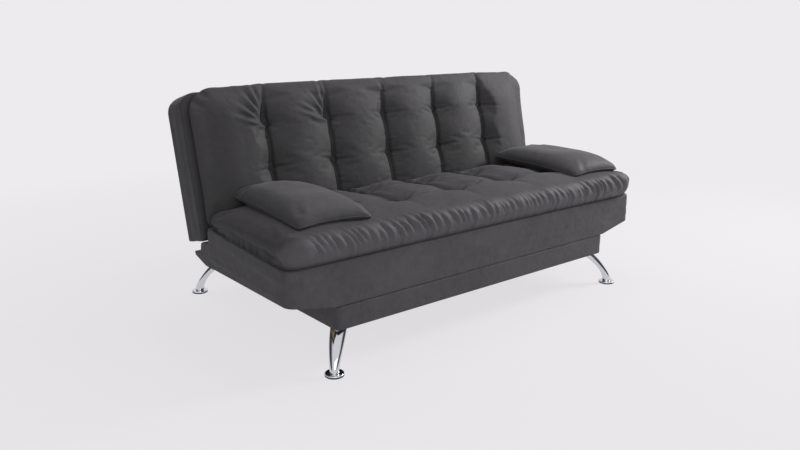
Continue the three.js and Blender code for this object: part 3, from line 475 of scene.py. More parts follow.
base_low, base_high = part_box("base_cover")
base_rise = base_high.z - base_low.z
hem_width = 0.026
cloth_skin = 0.0014
loop, outs = rounded_loop(base_high.x, base_low.y, base_high.y, 0.014, 0.014, 0.008)
profile = [(-hem_width, 0.0010), (-hem_width / 2, 0.0004), (-0.005, 0.0002), (-0.0016, 0.0016),
           (0, 0.005)]
wall_rows = 11
for row in range(1, wall_rows):
    profile.append((0, 0.005 + (base_rise - 0.010) * row / wall_rows))
profile += [(0, base_rise - 0.004), (-0.0011, base_rise - 0.0012),
            (-0.0026, base_rise - 0.0001), (-0.0042, base_rise)]
arc_length = length_along(loop)
rings = []
for out, up in profile:
    slack = soft_noise(arc_length * 9, np.full(len(loop), up * 30), 11) * 0.0014
    slack = slack + soft_noise(arc_length * 31, np.full(len(loop), up * 60), 12) * 0.0005
    slack = slack * math.sin(math.pi * (up / base_rise)) if out == 0 else slack * 0
    rings.append(at_height(drawn_in(loop, -out) + outs * slack[:, None], base_low.z + up))
base_cover = skin("base_box_cover", np.concatenate(rings), ring_faces(len(rings), len(loop)),
                  box_cloth)
thicken(base_cover, cloth_skin)
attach(base_cover, "base")
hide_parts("base_cover")

# Four chromed steel legs, swept outwards to a round foot, each welded to a screw plate.
# A black plastic glide is pressed under each foot, and pan head screws hold the plates.
chrome, place = new_material("bright_chrome")
haze = place.grain(9.0, 3.0, 0.4)
place.finish({"Base Color": haze.blend(colour(204, 206, 209), colour(222, 224, 227)),
              "Roughness": 0.05 + 0.08 * haze, "Metallic": 1.0})

black_plastic, place = new_material("black_glide_plastic")
scuffs = place.grain(240.0, 3.0)
place.finish({"Base Color": scuffs.blend(colour(18, 18, 20), colour(34, 34, 37)),
              "Roughness": 0.45 + 0.25 * scuffs, "Normal": scuffs.relief(0.5, 0.0002)})

leg_foot = np.array([-0.741, -0.52])
foot_radius = 0.033
foot_low, foot_high = 0.0043, 0.010
plate_low, plate_high = 0.1334, 0.1374
weld = 0.0004
leg_sweep, leg_waist = 0.093, 0.007
foot_depth, depth_gain = 0.036, 0.018
foot_width, width_gain = 0.033, 0.025
inward = np.array([math.sqrt(0.5), math.sqrt(0.5)])
across = np.array([-math.sqrt(0.5), math.sqrt(0.5)])
sides = 56
turns = np.arange(sides) * 2 * math.pi / sides


def leg_rings(steps):
    rings = []
    for step in range(steps + 1):
        up = step / steps
        sweep = leg_sweep * up ** 1.7
        waist = leg_waist * math.sin(math.pi * up) ** 2
        depth = foot_depth + depth_gain * up ** 2 - waist
        width = foot_width + width_gain * (3 * up ** 2 - 2 * up ** 3)
        a = sweep + depth / 2 * np.cos(turns)
        b = width / 2 * np.sin(turns)
        height = foot_high - weld + (plate_low + weld - foot_high + weld) * up
        rings.append(at_height(leg_foot + a[:, None] * inward + b[:, None] * across, height))
    return np.concatenate(rings)


def turned_disc(profile):
    circle = np.column_stack([np.cos(turns), np.sin(turns)])
    rings = [at_height(leg_foot + radius * circle, height) for radius, height in profile]
    middle = [(*leg_foot, profile[0][1]), (*leg_foot, profile[-1][1])]
    return np.concatenate([*rings, middle])


leg_steps = 36
shaft = leg_rings(leg_steps)
shaft_ends = [shaft[:sides].mean(0), shaft[-sides:].mean(0)]
disc_profile = [(foot_radius - 0.0012, foot_low), (foot_radius, foot_low + 0.0010),
                (foot_radius, foot_high - 0.0022), (foot_radius - 0.0007, foot_high - 0.0008),
                (foot_radius - 0.0022, foot_high - 0.0001), (foot_radius - 0.005, foot_high)]
plate_loop, plate_outs = rounded_loop(0.042, -0.042, 0.042, 0.010, 0.010, 0.004)
plate_centre = np.array([-0.660, -0.438])
plate_profile = [(-0.0008, plate_low), (0, plate_low + 0.0008), (0, plate_high - 0.0008),
                 (-0.0008, plate_high)]
plate_rings = [at_height(plate_centre + plate_loop + plate_outs * out, up)
               for out, up in plate_profile]
plate_ends = [(*plate_centre, plate_low), (*plate_centre, plate_high)]
parts = [
    (np.concatenate([shaft, shaft_ends]), ring_faces(leg_steps + 1, sides, True, True)),
    (turned_disc(disc_profile), ring_faces(len(disc_profile), sides, True, True)),
    (np.concatenate([*plate_rings, plate_ends]),
     ring_faces(len(plate_profile), len(plate_loop), True, True)),
]
corners = {"front_left": (1, 1), "front_right": (-1, 1), "rear_left": (1, -1),
           "rear_right": (-1, -1)}
for corner, (flip_x, flip_y) in corners.items():
    points, faces = [], []
    for part_points, part_faces in parts:
        base = len(points)
        points += [(x * flip_x, y * flip_y, z) for x, y, z in part_points]
        inside_out = flip_x * flip_y < 0
        faces += [tuple(base + i for i in (face[::-1] if inside_out else face))
                  for face in part_faces]
    leg = skin("chrome_leg_" + corner, points, faces, chrome)
    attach(leg, "base")
    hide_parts("leg_" + corner)
    finish_nodes(black_plastic, "glide", "foot_glide_" + corner)

screw_tree, inlet = geometry_tree("pan_head_screws_on_points", {
    "Head Radius": "NodeSocketFloat", "Head Height": "NodeSocketFloat",
    "Material": "NodeSocketMaterial"})
head = inlet["Head Radius"].node("GeometryNodeMeshCone", {
    "Vertices": 20, "Side Segments": 3, "Fill Segments": 2,
    "Radius Top": inlet["Head Radius"] * 0.72, "Radius Bottom": inlet["Head Radius"],
    "Depth": inlet["Head Height"]})
slot_size = head.node("ShaderNodeCombineXYZ", {0: inlet["Head Radius"] * 1.1,
                                               1: inlet["Head Radius"] * 0.22,
                                               2: inlet["Head Height"]})
slot_bar = slot_size.node("GeometryNodeMeshCube", {"Size": slot_size})
lift = slot_size.node("ShaderNodeCombineXYZ", {0: 0.0, 1: 0.0,
                                               2: inlet["Head Height"] * 0.9})
first_bar = slot_bar.node("GeometryNodeTransform", {"Geometry": slot_bar,
                                                    "Translation": lift})
second_bar = first_bar.node("GeometryNodeTransform", {
    "Geometry": first_bar, "Rotation": (0.0, 0.0, math.pi / 2)})
cut_once = first_bar.node("GeometryNodeMeshBoolean", {0: head, 1: first_bar},
                          operation="DIFFERENCE")
cut_twice = cut_once.node("GeometryNodeMeshBoolean", {0: cut_once, 1: second_bar},
                          operation="DIFFERENCE")
facing = cut_twice.node("GeometryNodeInputNamedAttribute", {"Name": "facing"},
                        data_type="FLOAT_VECTOR")
turn = facing.node("FunctionNodeAlignRotationToVector", {"Vector": facing}, axis="Z")
set_out = turn.node("GeometryNodeInstanceOnPoints", {
    "Points": inlet["Geometry"], "Instance": cut_twice, "Rotation": turn})
close_tree(set_out, inlet["Material"])

zinc, place = new_material("zinc_plated_steel")
spangle = place.node("ShaderNodeTexVoronoi", {"Vector": place, "Scale": 90.0}, output=1)
spangle = spangle.node("ShaderNodeSeparateColor", {"Color": spangle})
rub = place.stretched(1, 1, 5).grain(70.0, 4.0, 0.5)
tone = (0.5 * spangle + 0.5 * rub).blend(colour(140, 144, 150), colour(186, 189, 194))
place.finish({"Base Color": tone, "Roughness": 0.34 + 0.2 * rub, "Metallic": 0.9,
              "Normal": rub.relief(0.3, 0.0002)})

places, alongs = [], []
for flip_x, flip_y in corners.values():
    for dx, dy in ((-0.03, 0.03), (0.03, -0.03), (0.03, 0.03)):
        places.append(((plate_centre[0] + dx) * flip_x, (plate_centre[1] + dy) * flip_y,
                       plate_low))
        alongs.append((0, 0, -1))
plate_screws = grown("leg_plate_screws", points_mesh("plate_screw_points", places, alongs),
                     screw_tree, {"Head Radius": 0.0046, "Head Height": 0.0024,
                                  "Material": zinc})
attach(plate_screws, "base")

# The seat box: five pine boards and two thin plywood panels that slope up to the ends.
# They stand on the base and are hidden by the cover once the sofa is upholstered.
finish_nodes(pine_across, "timber", "seat_front_board", "seat_rear_board")
finish_nodes(pine_deep, "timber", "seat_left_board", "seat_right_board", "seat_cross_board")
finish_nodes(plywood, "timber", "seat_end_panel_left", "seat_end_panel_right")

# Webbing straps of black woven elastic run from front to back, with a foam slab on them.
# The weave is fine ribs over close warps, and the foam shows the small cells of a cut face.


def woven_strap(name, along):
    material, place = new_material(name)
    split = place.node("ShaderNodeSeparateXYZ", {0: place}, output=along)
    beside = place.node("ShaderNodeSeparateXYZ", {0: place}, output=(2, 0, 0)[along])
    ribs = split.maths("SINE", split * 1500.0) * 0.5 + 0.5
    warps = beside.maths("SINE", beside * 2200.0) * 0.5 + 0.5
    lint = place.grain(300.0, 2.0)
    height = ribs * warps + 0.3 * lint
    tone = (0.6 * height + 0.2 * lint).blend(colour(26, 26, 29), colour(66, 66, 72))
    place.finish({"Base Color": tone, "Roughness": 0.7 + 0.15 * lint,
                  "Normal": height.relief(0.7, 0.0006)})
    return material


finish_nodes(woven_strap("black_webbing_front_to_back", 1), "webbing", "seat_webbing_left_2",
             "seat_webbing_left_1", "seat_webbing_right_1", "seat_webbing_right_2")
cut_foam, place = new_material("cut_foam")
cells = place.node("ShaderNodeTexVoronoi", {"Vector": place, "Scale": 520.0})
yellowing = place.grain(6.0, 2.0)
tone = (0.7 * yellowing + 0.3 * cells).blend(colour(240, 230, 198), colour(222, 200, 150))
place.finish({"Base Color": tone, "Roughness": 0.85 + 0.1 * cells,
              "Normal": cells.relief(0.8, 0.0008)})
finish_nodes(cut_foam, "foam", "seat_foam")

# The seat box cover: the same suede, sewn to the seat cushion above along a tight seam.
# It slopes up under both ends, and a short toe of it reaches back beside the hinge.
seat_low, seat_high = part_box("seat_cover")
seat_front, seat_depth = -0.5, 0.552
seat_half = seat_high.x
box_bottom = seat_low.z
slope_start, slope_end_height = 0.717, 0.2624
lean_top, lean_in = 0.345, 0.012
loop, outs = rounded_loop(seat_half, seat_front, seat_front + seat_depth, 0.024, 0.006, 0.008)
arc_length = length_along(loop)


def box_top(y):
    return 0.383 + 0.030 * (y - seat_front) / seat_depth


def box_underside(x):
    rise = np.clip((np.abs(x) - slope_start) / (seat_half - slope_start), 0, 1)
    return box_bottom + (slope_end_height - box_bottom) * rise


def undercut(y, z):
    """How far the rear of the box leans in below the toe."""
    part = np.clip((lean_top - z) / (lean_top - box_bottom), 0, 1)
    return np.where(y > seat_front + seat_depth / 2, lean_in * part, 0)


rings = []
for inset in (0.036, 0.022, 0.010, 0.003):
    flat = drawn_in(loop, inset)
    drop = 0.0006 if inset > 0.02 else 0
    height = box_underside(flat[:, 0]) + drop + (0.0004 if inset < 0.005 else 0)
    flat[:, 1] -= undercut(flat[:, 1], height)
    rings.append(np.column_stack([flat, height]))
wall_rows = 24
for row in range(wall_rows + 1):
    part = row / wall_rows
    low = box_underside(loop[:, 0]) + 0.0022
    high = box_top(loop[:, 1]) - 0.002
    height = low + (high - low) * part
    ripples = soft_noise(arc_length * 5.5, height * 22 + arc_length * 0.8, 21) * 0.0022
    ripples += soft_noise(arc_length * 2.6, height * 66 + arc_length * 2.0, 22) * 0.0015
    ripples += soft_noise(arc_length * 42, height * 12, 23) * 0.0009 * (part ** 3)
    slack = ripples * math.sin(math.pi * min(part * 1.15, 1)) ** 0.5
    pulled_in = -0.0035 * part ** 8
    flat = loop + outs * (slack + pulled_in)[:, None]
    flat[:, 1] -= undercut(flat[:, 1], height)
    rings.append(np.column_stack([flat, height]))
for inset in (0.012, 0.05, 0.12, 0.2):
    flat = drawn_in(loop, inset)
    rings.append(np.column_stack([flat, box_top(flat[:, 1]) - 0.0006]))
seat_skin = skin("seat_box_cover", np.concatenate(rings), ring_faces(len(rings), len(loop)),
                 box_cloth)
thicken(seat_skin, cloth_skin)

toe_outline = [(-0.034, 0.2614), (0.028, 0.2614), (0.114, 0.2840), (0.120, 0.2985),
               (0.073, 0.3060), (0.066, 0.3120), (0.062, 0.3310), (0.058, 0.3430),
               (0.046, 0.3490), (0.028, 0.3540), (-0.034, 0.3540)]
toe_width = 0.030


def soft_wedge(outline, x_start, x_end, radius):
    """A padded wedge with eased edges, drawn as (y, z), whose underside follows the box's."""
    shape = bmesh.new()
    faces = []
    for x in (x_start, x_end):
        fall = float(box_underside(x)) - slope_end_height
        faces.append([shape.verts.new((x, seat_front + seat_depth + y,
                                       z + (fall if z < 0.29 else 0))) for y, z in outline])
    count = len(outline)
    shape.faces.new(faces[0][::-1])
    shape.faces.new(faces[1])
    for k in range(count):
        after = (k + 1) % count
        shape.faces.new((faces[0][k], faces[0][after], faces[1][after], faces[1][k]))
    bmesh.ops.recalc_face_normals(shape, faces=shape.faces)
    bmesh.ops.bevel(shape, geom=list(shape.edges) + list(shape.verts), offset=radius,
                    segments=4, profile=0.6, affect="EDGES")
    bmesh.ops.triangulate(shape, faces=[face for face in shape.faces if len(face.verts) > 4])
    mesh = bpy.data.meshes.new("toe")
    shape.to_mesh(mesh)
    shape.free()
    mesh.shade_smooth()
    mesh.materials.append(box_cloth)
    return mesh


for side, sign in (("left", -1), ("right", 1)):
    ends = sorted((sign * seat_half, sign * (seat_half - toe_width)))
    toe = object_of("seat_box_toe_" + side, soft_wedge(toe_outline, *ends, 0.004))
    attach(toe, "base")
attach(seat_skin, "base")
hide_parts("seat_cover")

# The seat cushion: fibre over foam under the suede, six columns with two rows of sewn tufts.
# Its front band is gathered into short upright folds where the top is sewn over the edge.
# Its colour has a painted highlight along that band and painted shade in the tufts, the channels
# and along its bottom edge.
# The seat's suede is painted a little darker than the box's, as painted shade on its lit top.
seat_cloth_painted_light_and_shade = suede("charcoal_suede_seat", (74, 72, 75), 0.5, True)
columns = 6


def column_dome(u, half, pitch, power):
    """1 on the middle of a column, 0 on the channel beside it."""
    inner = pitch * (columns / 2 - 1)
    outer = np.abs(u) > inner
    reach = np.where(outer, half - inner, pitch)
    start = np.where(outer, inner, pitch * np.floor(np.abs(u) / pitch))
    part = np.minimum((np.abs(u) - start) / reach, 1)
    return 1 - np.abs(2 * part - 1) ** power


def rim_share(gap, run):
    return 1 - (1 - np.clip(gap / run, 0, 1)) ** 2


def nearest_channel(u, pitch):
    limit = columns // 2 - 1
    return pitch * np.clip(np.round(u / pitch), -limit, limit)


def tuft_dip(u, v, pitch, rows, radius):
    across = (u - nearest_channel(u, pitch)) / radius
    return sum(np.exp(-across ** 2 - ((v - row) / radius) ** 2) for row in rows)


def side_profile(part, starts, values):
    """A smooth curve through the given steps."""
    slopes = np.gradient(values, starts)
    index = np.clip(np.searchsorted(starts, part) - 1, 0, len(starts) - 2)
    width = starts[index + 1] - starts[index]
    t = (part - starts[index]) / width
    return ((2 * t ** 3 - 3 * t ** 2 + 1) * values[index]
            + (t ** 3 - 2 * t ** 2 + t) * width * slopes[index]
            + (-2 * t ** 3 + 3 * t ** 2) * values[index + 1]
            + (t ** 3 - t ** 2) * width * slopes[index + 1])


def quads_of(grid):
    return np.stack([grid[:-1, :-1], grid[:-1, 1:], grid[1:, 1:], grid[1:, :-1]],
                    -1).reshape(-1, 4)


def rim_of(grid):
    return np.concatenate([grid[0, :-1], grid[:-1, -1], grid[-1, :0:-1], grid[:0:-1, 0]])


def padded_skin(us, vs, radius, rolls, rim, crown, place, side_rows):
    """Points and faces of a pad: a gridded top, rolled sides and a plain underside."""
    mid_u, half_u = (us[0] + us[-1]) / 2, (us[-1] - us[0]) / 2
    mid_v, half_v = (vs[0] + vs[-1]) / 2, (vs[-1] - vs[0]) / 2
    u, v = np.meshgrid(us, vs)
    a = (np.abs(u - mid_u) - (half_u - radius)) / radius
    b = (np.abs(v - mid_v) - (half_v - radius)) / radius
    corner = (a > 0) & (b > 0)
    round_a = a * np.sqrt(np.clip(1 - 0.5 * b * b, 0, 1))
    round_b = b * np.sqrt(np.clip(1 - 0.5 * a * a, 0, 1))
    u = np.where(corner, mid_u + np.sign(u - mid_u) * (half_u - radius + round_a * radius), u)
    v = np.where(corner, mid_v + np.sign(v - mid_v) * (half_v - radius + round_b * radius), v)
    nv, nu = u.shape
    u, v = u.ravel(), v.ravel()
    grid = np.arange(nu * nv).reshape(nv, nu)
    rim_index = rim_of(grid)
    rise = rim(u, v) + crown(u, v)
    rise[rim_index] = rim(u[rim_index], v[rim_index])
    points = [place(u, v, rise)]
    faces = quads_of(grid).tolist()
    ru, rv = u[rim_index], v[rim_index]
    ahead_u, ahead_v = np.roll(ru, -1) - np.roll(ru, 1), np.roll(rv, -1) - np.roll(rv, 1)
    length = np.hypot(ahead_u, ahead_v)
    out_u, out_v = ahead_v / length, -ahead_u / length
    along_v = np.where(out_v < 0, rolls["start"], rolls["end"])
    roll = out_u ** 2 * rolls["side"] + out_v ** 2 * along_v
    foot = out_u ** 2 * rolls["foot"]
    upper = rim_index.tolist()
    count, total = len(upper), nu * nv
    steps = np.array([0, 0.08, 0.2, 0.42, 0.66, 0.88, 1.0])
    bulge = np.array([0.0, 0.14, 0.56, 0.96, 1.0, 0.72, 0.0])
    for row in range(side_rows - 1, -1, -1):
        part = row / side_rows
        share = side_profile(np.array([part]), steps, bulge)
        amount = roll * (share + np.clip(foot - share, 0, None) * max(0.0, 1 - part / 0.3))
        points.append(place(ru + out_u * amount, rv + out_v * amount, rim(ru, rv) * part))
        lower = list(range(total, total + count))
        faces += [(lower[k], lower[(k + 1) % count], upper[(k + 1) % count], upper[k])
                  for k in range(count)]
        total += count
        upper = lower
    lower_u = mid_u + (u - mid_u) * (1 + rolls["side"] * max(bulge[0], rolls["foot"]) / half_u)
    lower_v = mid_v + (v - mid_v) * (1 + rolls["start"] * bulge[0] / half_v)
    inner = np.setdiff1d(np.arange(nu * nv), rim_index)
    under = np.zeros(nu * nv, int)
    under[rim_index] = upper
    under[inner] = total + np.arange(len(inner))
    points.append(place(lower_u[inner], lower_v[inner], np.zeros(len(inner))))
    under = under.reshape(nv, nu)
    faces += np.stack([under[:-1, :-1], under[1:, :-1], under[1:, 1:], under[:-1, 1:]],
                      -1).reshape(-1, 4).tolist()
    return np.concatenate(points), faces


def vectors_of(items, kind):
    values = np.zeros(len(items) * 3, np.float32)
    items.foreach_get(kind, values)
    return values.reshape(-1, 3).astype(float)


def coordinates(mesh):
    return vectors_of(mesh.vertices, "co")


def surface_of(piece):
    """The points of a piece, and the direction in which its skin faces at each."""
    return coordinates(piece.data), vectors_of(piece.data.vertex_normals, "vector")


def move_to(mesh, points):
    mesh.vertices.foreach_set("co", points.astype(np.float32).ravel())
    mesh.update()


def swell(piece, held, pressure, cap, slack=0.0, stiffness=12.0):
    """Blows a closed skin up as cloth, holding its sewn points, and keeps the result."""
    before = coordinates(piece.data)
    group = piece.vertex_groups.new(name="sewn")
    group.add([int(i) for i in np.nonzero(held)[0]], 1.0, "REPLACE")
    frames = 20
    cloth = piece.modifiers.new("swell", "CLOTH")
    cloth.settings.quality = 4
    cloth.settings.mass = 0.25
    cloth.settings.tension_stiffness = stiffness
    cloth.settings.compression_stiffness = stiffness
    cloth.settings.shear_stiffness = stiffness / 2
    cloth.settings.bending_stiffness = 1.0
    cloth.settings.shrink_min = -slack
    cloth.settings.use_pressure = True
    cloth.settings.uniform_pressure_force = pressure
    cloth.settings.vertex_group_mass = "sewn"
    cloth.settings.effector_weights.gravity = 0
    cloth.collision_settings.use_collision = False
    cloth.collision_settings.use_self_collision = False
    cloth.point_cache.frame_start = 1
    cloth.point_cache.frame_end = frames
    for step in range(1, frames + 1):
        bpy.context.scene.frame_set(step)
    shown = piece.evaluated_get(bpy.context.evaluated_depsgraph_get())
    move = coordinates(shown.data) - before
    piece.modifiers.clear()
    piece.vertex_groups.clear()
    bpy.context.scene.frame_set(1)
    length = np.linalg.norm(move, axis=1, keepdims=True)
    move_to(piece.data, before + move * np.minimum(1, cap / np.maximum(length, 1e-9)))


def refine(piece):
    smoother = piece.modifiers.new("smoother", "SUBSURF")
    smoother.levels = smoother.render_levels = 1
    settle(piece)
    piece.data.shade_smooth()


def reached(start, reach, turn):
    return start[0] + reach * math.cos(turn), start[1] + reach * math.sin(turn)


def crease(a, b, start, end, depth, width):
    """A sewn or pulled crease between two points of a flat pattern, deepest at its start."""
    start, end = np.array(start), np.array(end)
    run = end - start
    near = (np.abs(a - (start[0] + end[0]) / 2) < abs(run[0]) / 2 + 4 * width) \
        & (np.abs(b - (start[1] + end[1]) / 2) < abs(run[1]) / 2 + 4 * width)
    result = np.zeros(len(a))
    pa, pb = a[near] - start[0], b[near] - start[1]
    part = np.clip((pa * run[0] + pb * run[1]) / max(run @ run, 1e-12), 0, 1)
    gap = np.hypot(pa - part * run[0], pb - part * run[1]) / width
    fade = (1 - part) ** 1.3
    lips = 0.35 * np.exp(-((gap - 1.9) / 0.8) ** 2)
    result[near] = -depth * fade * (np.exp(-gap ** 2) - lips)
    return result


def gather(a, b, start, end, depth, width):
    """A soft pleat between two points: a valley with a proud lip on its right."""
    start, end = np.array(start), np.array(end)
    run = end - start
    length = math.hypot(*run)
    pa, pb = a - start[0], b - start[1]
    part = np.clip((pa * run[0] + pb * run[1]) / length ** 2, 0, 1)
    beside = (pa * -run[1] + pb * run[0]) / length / width
    past = np.hypot(pa - part * run[0], pb - part * run[1]) / width
    fade = np.sin(math.pi * np.clip(part * 0.8 + 0.15, 0, 1)) * (past < 5)
    shape = np.exp(-past ** 2) - 0.7 * np.exp(-(beside - 1.7) ** 2) * (past < 5)
    return -depth * fade * shape


seat_grid_half = seat_half - 0.030
seat_grid_rear = seat_depth - 0.006
seat_pitch = 2 * seat_grid_half / columns
seat_rows = (0.21, 0.42)
seat_rim_height = 0.474
seat_swell, seat_tuft_depth, seat_tuft_radius = 0.023, 0.025, 0.031
sewing_gap = 0.0003


def seat_crown(u, v):
    in_u = rim_share(seat_grid_half - np.abs(u), 0.150)
    in_v = rim_share(v, 0.150) * rim_share(seat_grid_rear - v, 0.100)
    valley = 0.35 + 0.62 * eased(np.clip((v - 0.105) / 0.315, 0, 1))
    dome = 1 - valley * (1 - column_dome(u, seat_grid_half, seat_pitch, 2.0))
    dip = seat_tuft_depth * tuft_dip(u, v, seat_pitch, seat_rows, seat_tuft_radius)
    return seat_swell * dome * in_u * in_v - dip


def seat_rim(u, v):
    fall = eased(np.clip((v - seat_grid_rear + 0.150) / 0.150, 0, 1))
    return seat_rim_height - 0.016 * fall - box_top(seat_front + v) - sewing_gap


def on_seat(u, v, w):
    return np.column_stack([u, seat_front + v, box_top(seat_front + v) + sewing_gap + w])


cell = 0.0075
points, faces = padded_skin(
    np.linspace(-seat_grid_half, seat_grid_half, round(2 * seat_grid_half / cell) + 1),
    np.linspace(0, seat_grid_rear, round(seat_grid_rear / cell) + 1), 0.046,
    {"side": 0.037, "start": 0.032, "end": 0.020, "foot": 0.8}, seat_rim, seat_crown, on_seat, 14)
seat_cushion = skin("tufted_seat_cushion", points, faces, seat_cloth_painted_light_and_shade)
u, v = points[:, 0], points[:, 1] - seat_front
low = points[:, 2] - box_top(points[:, 1]) < 0.004
sewn = tuft_dip(u, v, seat_pitch, seat_rows, 0.012) > 0.5
swell(seat_cushion, low | sewn, 4.0, 0.012, 0.012)
refine(seat_cushion)
points, out = surface_of(seat_cushion)
u, v, z = points[:, 0], points[:, 1] - seat_front, points[:, 2]
top_from, band_depth = 0.43, 0.19
top = (z > top_from) & (out[:, 2] > 0.1)
move = np.zeros(len(points))
chance = np.random.default_rng(31)
channels = [seat_pitch * k for k in range(-2, 3)]
for channel in channels:
    for row in seat_rows:
        jitter = chance.normal(0, 0.004, 2)
        centre = (channel + jitter[0], row + jitter[1])
        r = np.hypot(u - centre[0], v - centre[1])
        move += top * -0.013 * np.exp(-(r / 0.017) ** 2)
        for angle in (0, 180, 118, 236):
            turn = math.radians(angle + chance.normal(0, 8))
            level = angle in (0, 180)
            reach = chance.uniform(0.055, 0.085) * (1 if level else 0.75)
            end = reached(centre, reach, turn)
            depth = chance.uniform(0.007, 0.009) if level else chance.uniform(0.003, 0.005)
            move += top * crease(u, v, centre, end, depth, 0.011)
    for start, end, depth in ((seat_grid_rear, seat_rows[1] - 0.05, 0.010),
                              (seat_rows[1], seat_rows[0] - 0.03, 0.008),
                              (seat_rows[0], 0.06, 0.004)):
        move += top * crease(u, v, (channel, start), (channel, end), depth, 0.016)
band = (z - 0.39) + np.clip(v + 0.022, 0, None)
forward = (v < band_depth) & (out[:, 1] < 0.7) & (z > 0.388)
x = -seat_grid_half + 0.06
while x < seat_grid_half + 0.02:
    cluster = 0.5 + 0.5 * soft_noise(np.array([x * 8.5]), np.array([0.5]), 32)[0]
    length = chance.uniform(0.055, 0.090)
    start = chance.uniform(0.088, 0.112)
    lean = length * chance.uniform(0.30, 0.60)
    depth = chance.uniform(0.0050, 0.0100) * (0.2 + 1.0 * cluster)
    width = chance.uniform(0.0055, 0.0090)
    move += forward * gather(u, band, (x, start), (x + lean, start - length), depth, width)
    x += chance.uniform(0.012, 0.042)
lumps = soft_noise(u * 15, band * 9, 34) * 0.004
move += lumps * np.clip(1 - np.abs(band - 0.09) / 0.07, 0, 1) * (v < band_depth)
swirl = soft_noise(u * 16, v * 16 + z * 20, 33) * 0.0012
move += swirl * (z > 0.41)
move_to(seat_cushion.data, points + out * move[:, None])
# Painted shade in the tuft pits, along the channels behind the front tufts and along the cushion's
# bottom edge, and a painted highlight along the front band, kept as marks for the seat's suede.
gap = np.abs(u - nearest_channel(u, seat_pitch))
rearward = np.clip((v - seat_rows[0]) / 0.06, 0, 1) * (z > top_from)
shadowed = tuft_dip(u, v - 0.022, seat_pitch, seat_rows, 0.036) * (z > top_from)
shadowed += 0.4 * np.exp(-(gap / 0.014) ** 2) * rearward
shadowed += 0.9 * np.exp(-((z - box_top(points[:, 1])) / 0.014) ** 2)
painted_light = np.clip((0.135 - band) / 0.04, 0, 1) * (v < band_depth)
for mark, shares in (("painted_shade", shadowed), ("painted_light", painted_light * (1 - shadowed))):
    marks = seat_cushion.data.attributes.new(mark, "FLOAT", "POINT")
    marks.data.foreach_set("value", np.clip(shares, 0, 1).astype(np.float32))
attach(seat_cushion, "base")
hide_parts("seat_cushion")

# Two click clack hinges of zinc plated plate: a bracket screwed to the base, an arm on the back.
# Each turns on a headed pin, and a sprung pawl drops into the notches of the arm's quadrant.
for side in ("_left", "_right"):
    finish_nodes(zinc, "zinc_steel", "hinge_base_bracket" + side, "hinge_back_arm" + side,
                 "hinge_pivot_pin" + side, "pawl_pin" + side, "pawl" + side)
hinge_y, hinge_z = 0.160, 0.380
hinge_place = Vector((0, hinge_y, hinge_z))
hinge_face, hinge_plate, hinge_gap = 0.6854, 0.005, 0.0003

wire_tree, inlet = geometry_tree("round_wire_along_a_path", {
    "Wire Radius": "NodeSocketFloat", "Sides": "NodeSocketInt",
    "Material": "NodeSocketMaterial"})
path = inlet["Geometry"].node("GeometryNodeMeshToCurve", {"Mesh": inlet["Geometry"]})
section = path.node("GeometryNodeCurvePrimitiveCircle", {
    "Resolution": inlet["Sides"], "Radius": inlet["Wire Radius"]})
wire = path.node("GeometryNodeCurveToMesh", {"Curve": path, "Profile Curve": section,
                                             "Fill Caps": True})
smooth = wire.node("GeometryNodeSetShadeSmooth", {"Geometry": wire})
close_tree(smooth, inlet["Material"])


def path_mesh(name, points, closed=False):
    mesh = bpy.data.meshes.new(name)
    edges = [(k, k + 1) for k in range(len(points) - 1)]
    if closed:
        edges.append((len(points) - 1, 0))
    mesh.from_pydata([tuple(point) for point in points], edges, [])
    return mesh


coil_radius, wire_radius, curls, leg_length = 0.0061, 0.0008, 3.25, 0.009
coil_start = -hinge_face + 2 * hinge_plate + 2 * hinge_gap + 2 * wire_radius
coil_room = 0.010
coil_pitch = (coil_room - 4 * wire_radius) / curls
coil_centre = (hinge_y - 0.046, hinge_z - 0.038)
spring_points, spring_steps = [], 120
for step in range(spring_steps + 1):
    angle = 2 * math.pi * curls * step / spring_steps
    spring_points.append((coil_start + coil_pitch * curls * step / spring_steps,
                          coil_centre[0] + coil_radius * math.cos(angle),
                          coil_centre[1] + coil_radius * math.sin(angle)))
first = Vector(spring_points[0]) + Vector((0, 0, -leg_length))
last_angle = 2 * math.pi * curls
last = Vector(spring_points[-1]) + leg_length * Vector((0, -math.sin(last_angle),
                                                         math.cos(last_angle)))
spring_points = [tuple(first), *spring_points, tuple(last)]
for side, sign in (("left", 1), ("right", -1)):
    placed = [(x * sign, y, z) for x, y, z in spring_points]
    spring = grown("pawl_torsion_spring_" + side, path_mesh("spring_path_" + side, placed),
                   wire_tree, {"Wire Radius": wire_radius, "Sides": 12,
                               "Material": bare_steel})
    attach(spring, "base")
    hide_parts("pawl_spring_" + side)

# The back frame: pine rails and uprights with a thin board behind and webbing in front.
# The hinge arms are held to the inner uprights by three pan head screws each.
finish_nodes(pine_across, "timber", "back_top_rail", "back_bottom_rail")
finish_nodes(pine_upright, "timber", "back_left_upright", "back_right_upright",
             "back_inner_upright_left", "back_inner_upright_right")
finish_nodes(plywood, "timber", "back_rear_sheet")
finish_nodes(woven_strap("black_webbing_across", 0), "webbing", "back_webbing_1",
             "back_webbing_2", "back_webbing_3")
back_lean = math.radians(13)


def on_back(x, fore, rise):
    """A point of the back: across it, forward of the hinge line, and up along it."""
    fore, rise = np.asarray(fore), np.asarray(rise)
    y = hinge_place.y - fore * math.cos(back_lean) + rise * math.sin(back_lean)
    z = hinge_place.z + fore * math.sin(back_lean) + rise * math.cos(back_lean)
    return np.column_stack([np.broadcast_to(x, y.shape), y, z])


places, alongs = [], []
arm_face = hinge_face - hinge_plate - hinge_gap
for sign in (-1, 1):
    for rise in (0.075, 0.110, 0.145):
        places.append(tuple(on_back(sign * arm_face, np.array([0.0]), np.array([rise]))[0]))
        alongs.append((sign, 0, 0))
arm_screws = grown("hinge_arm_screws", points_mesh("arm_screw_points", places, alongs),
                   screw_tree, {"Head Radius": 0.005, "Head Height": 0.0026,
                                "Material": zinc})
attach(arm_screws, "backrest")
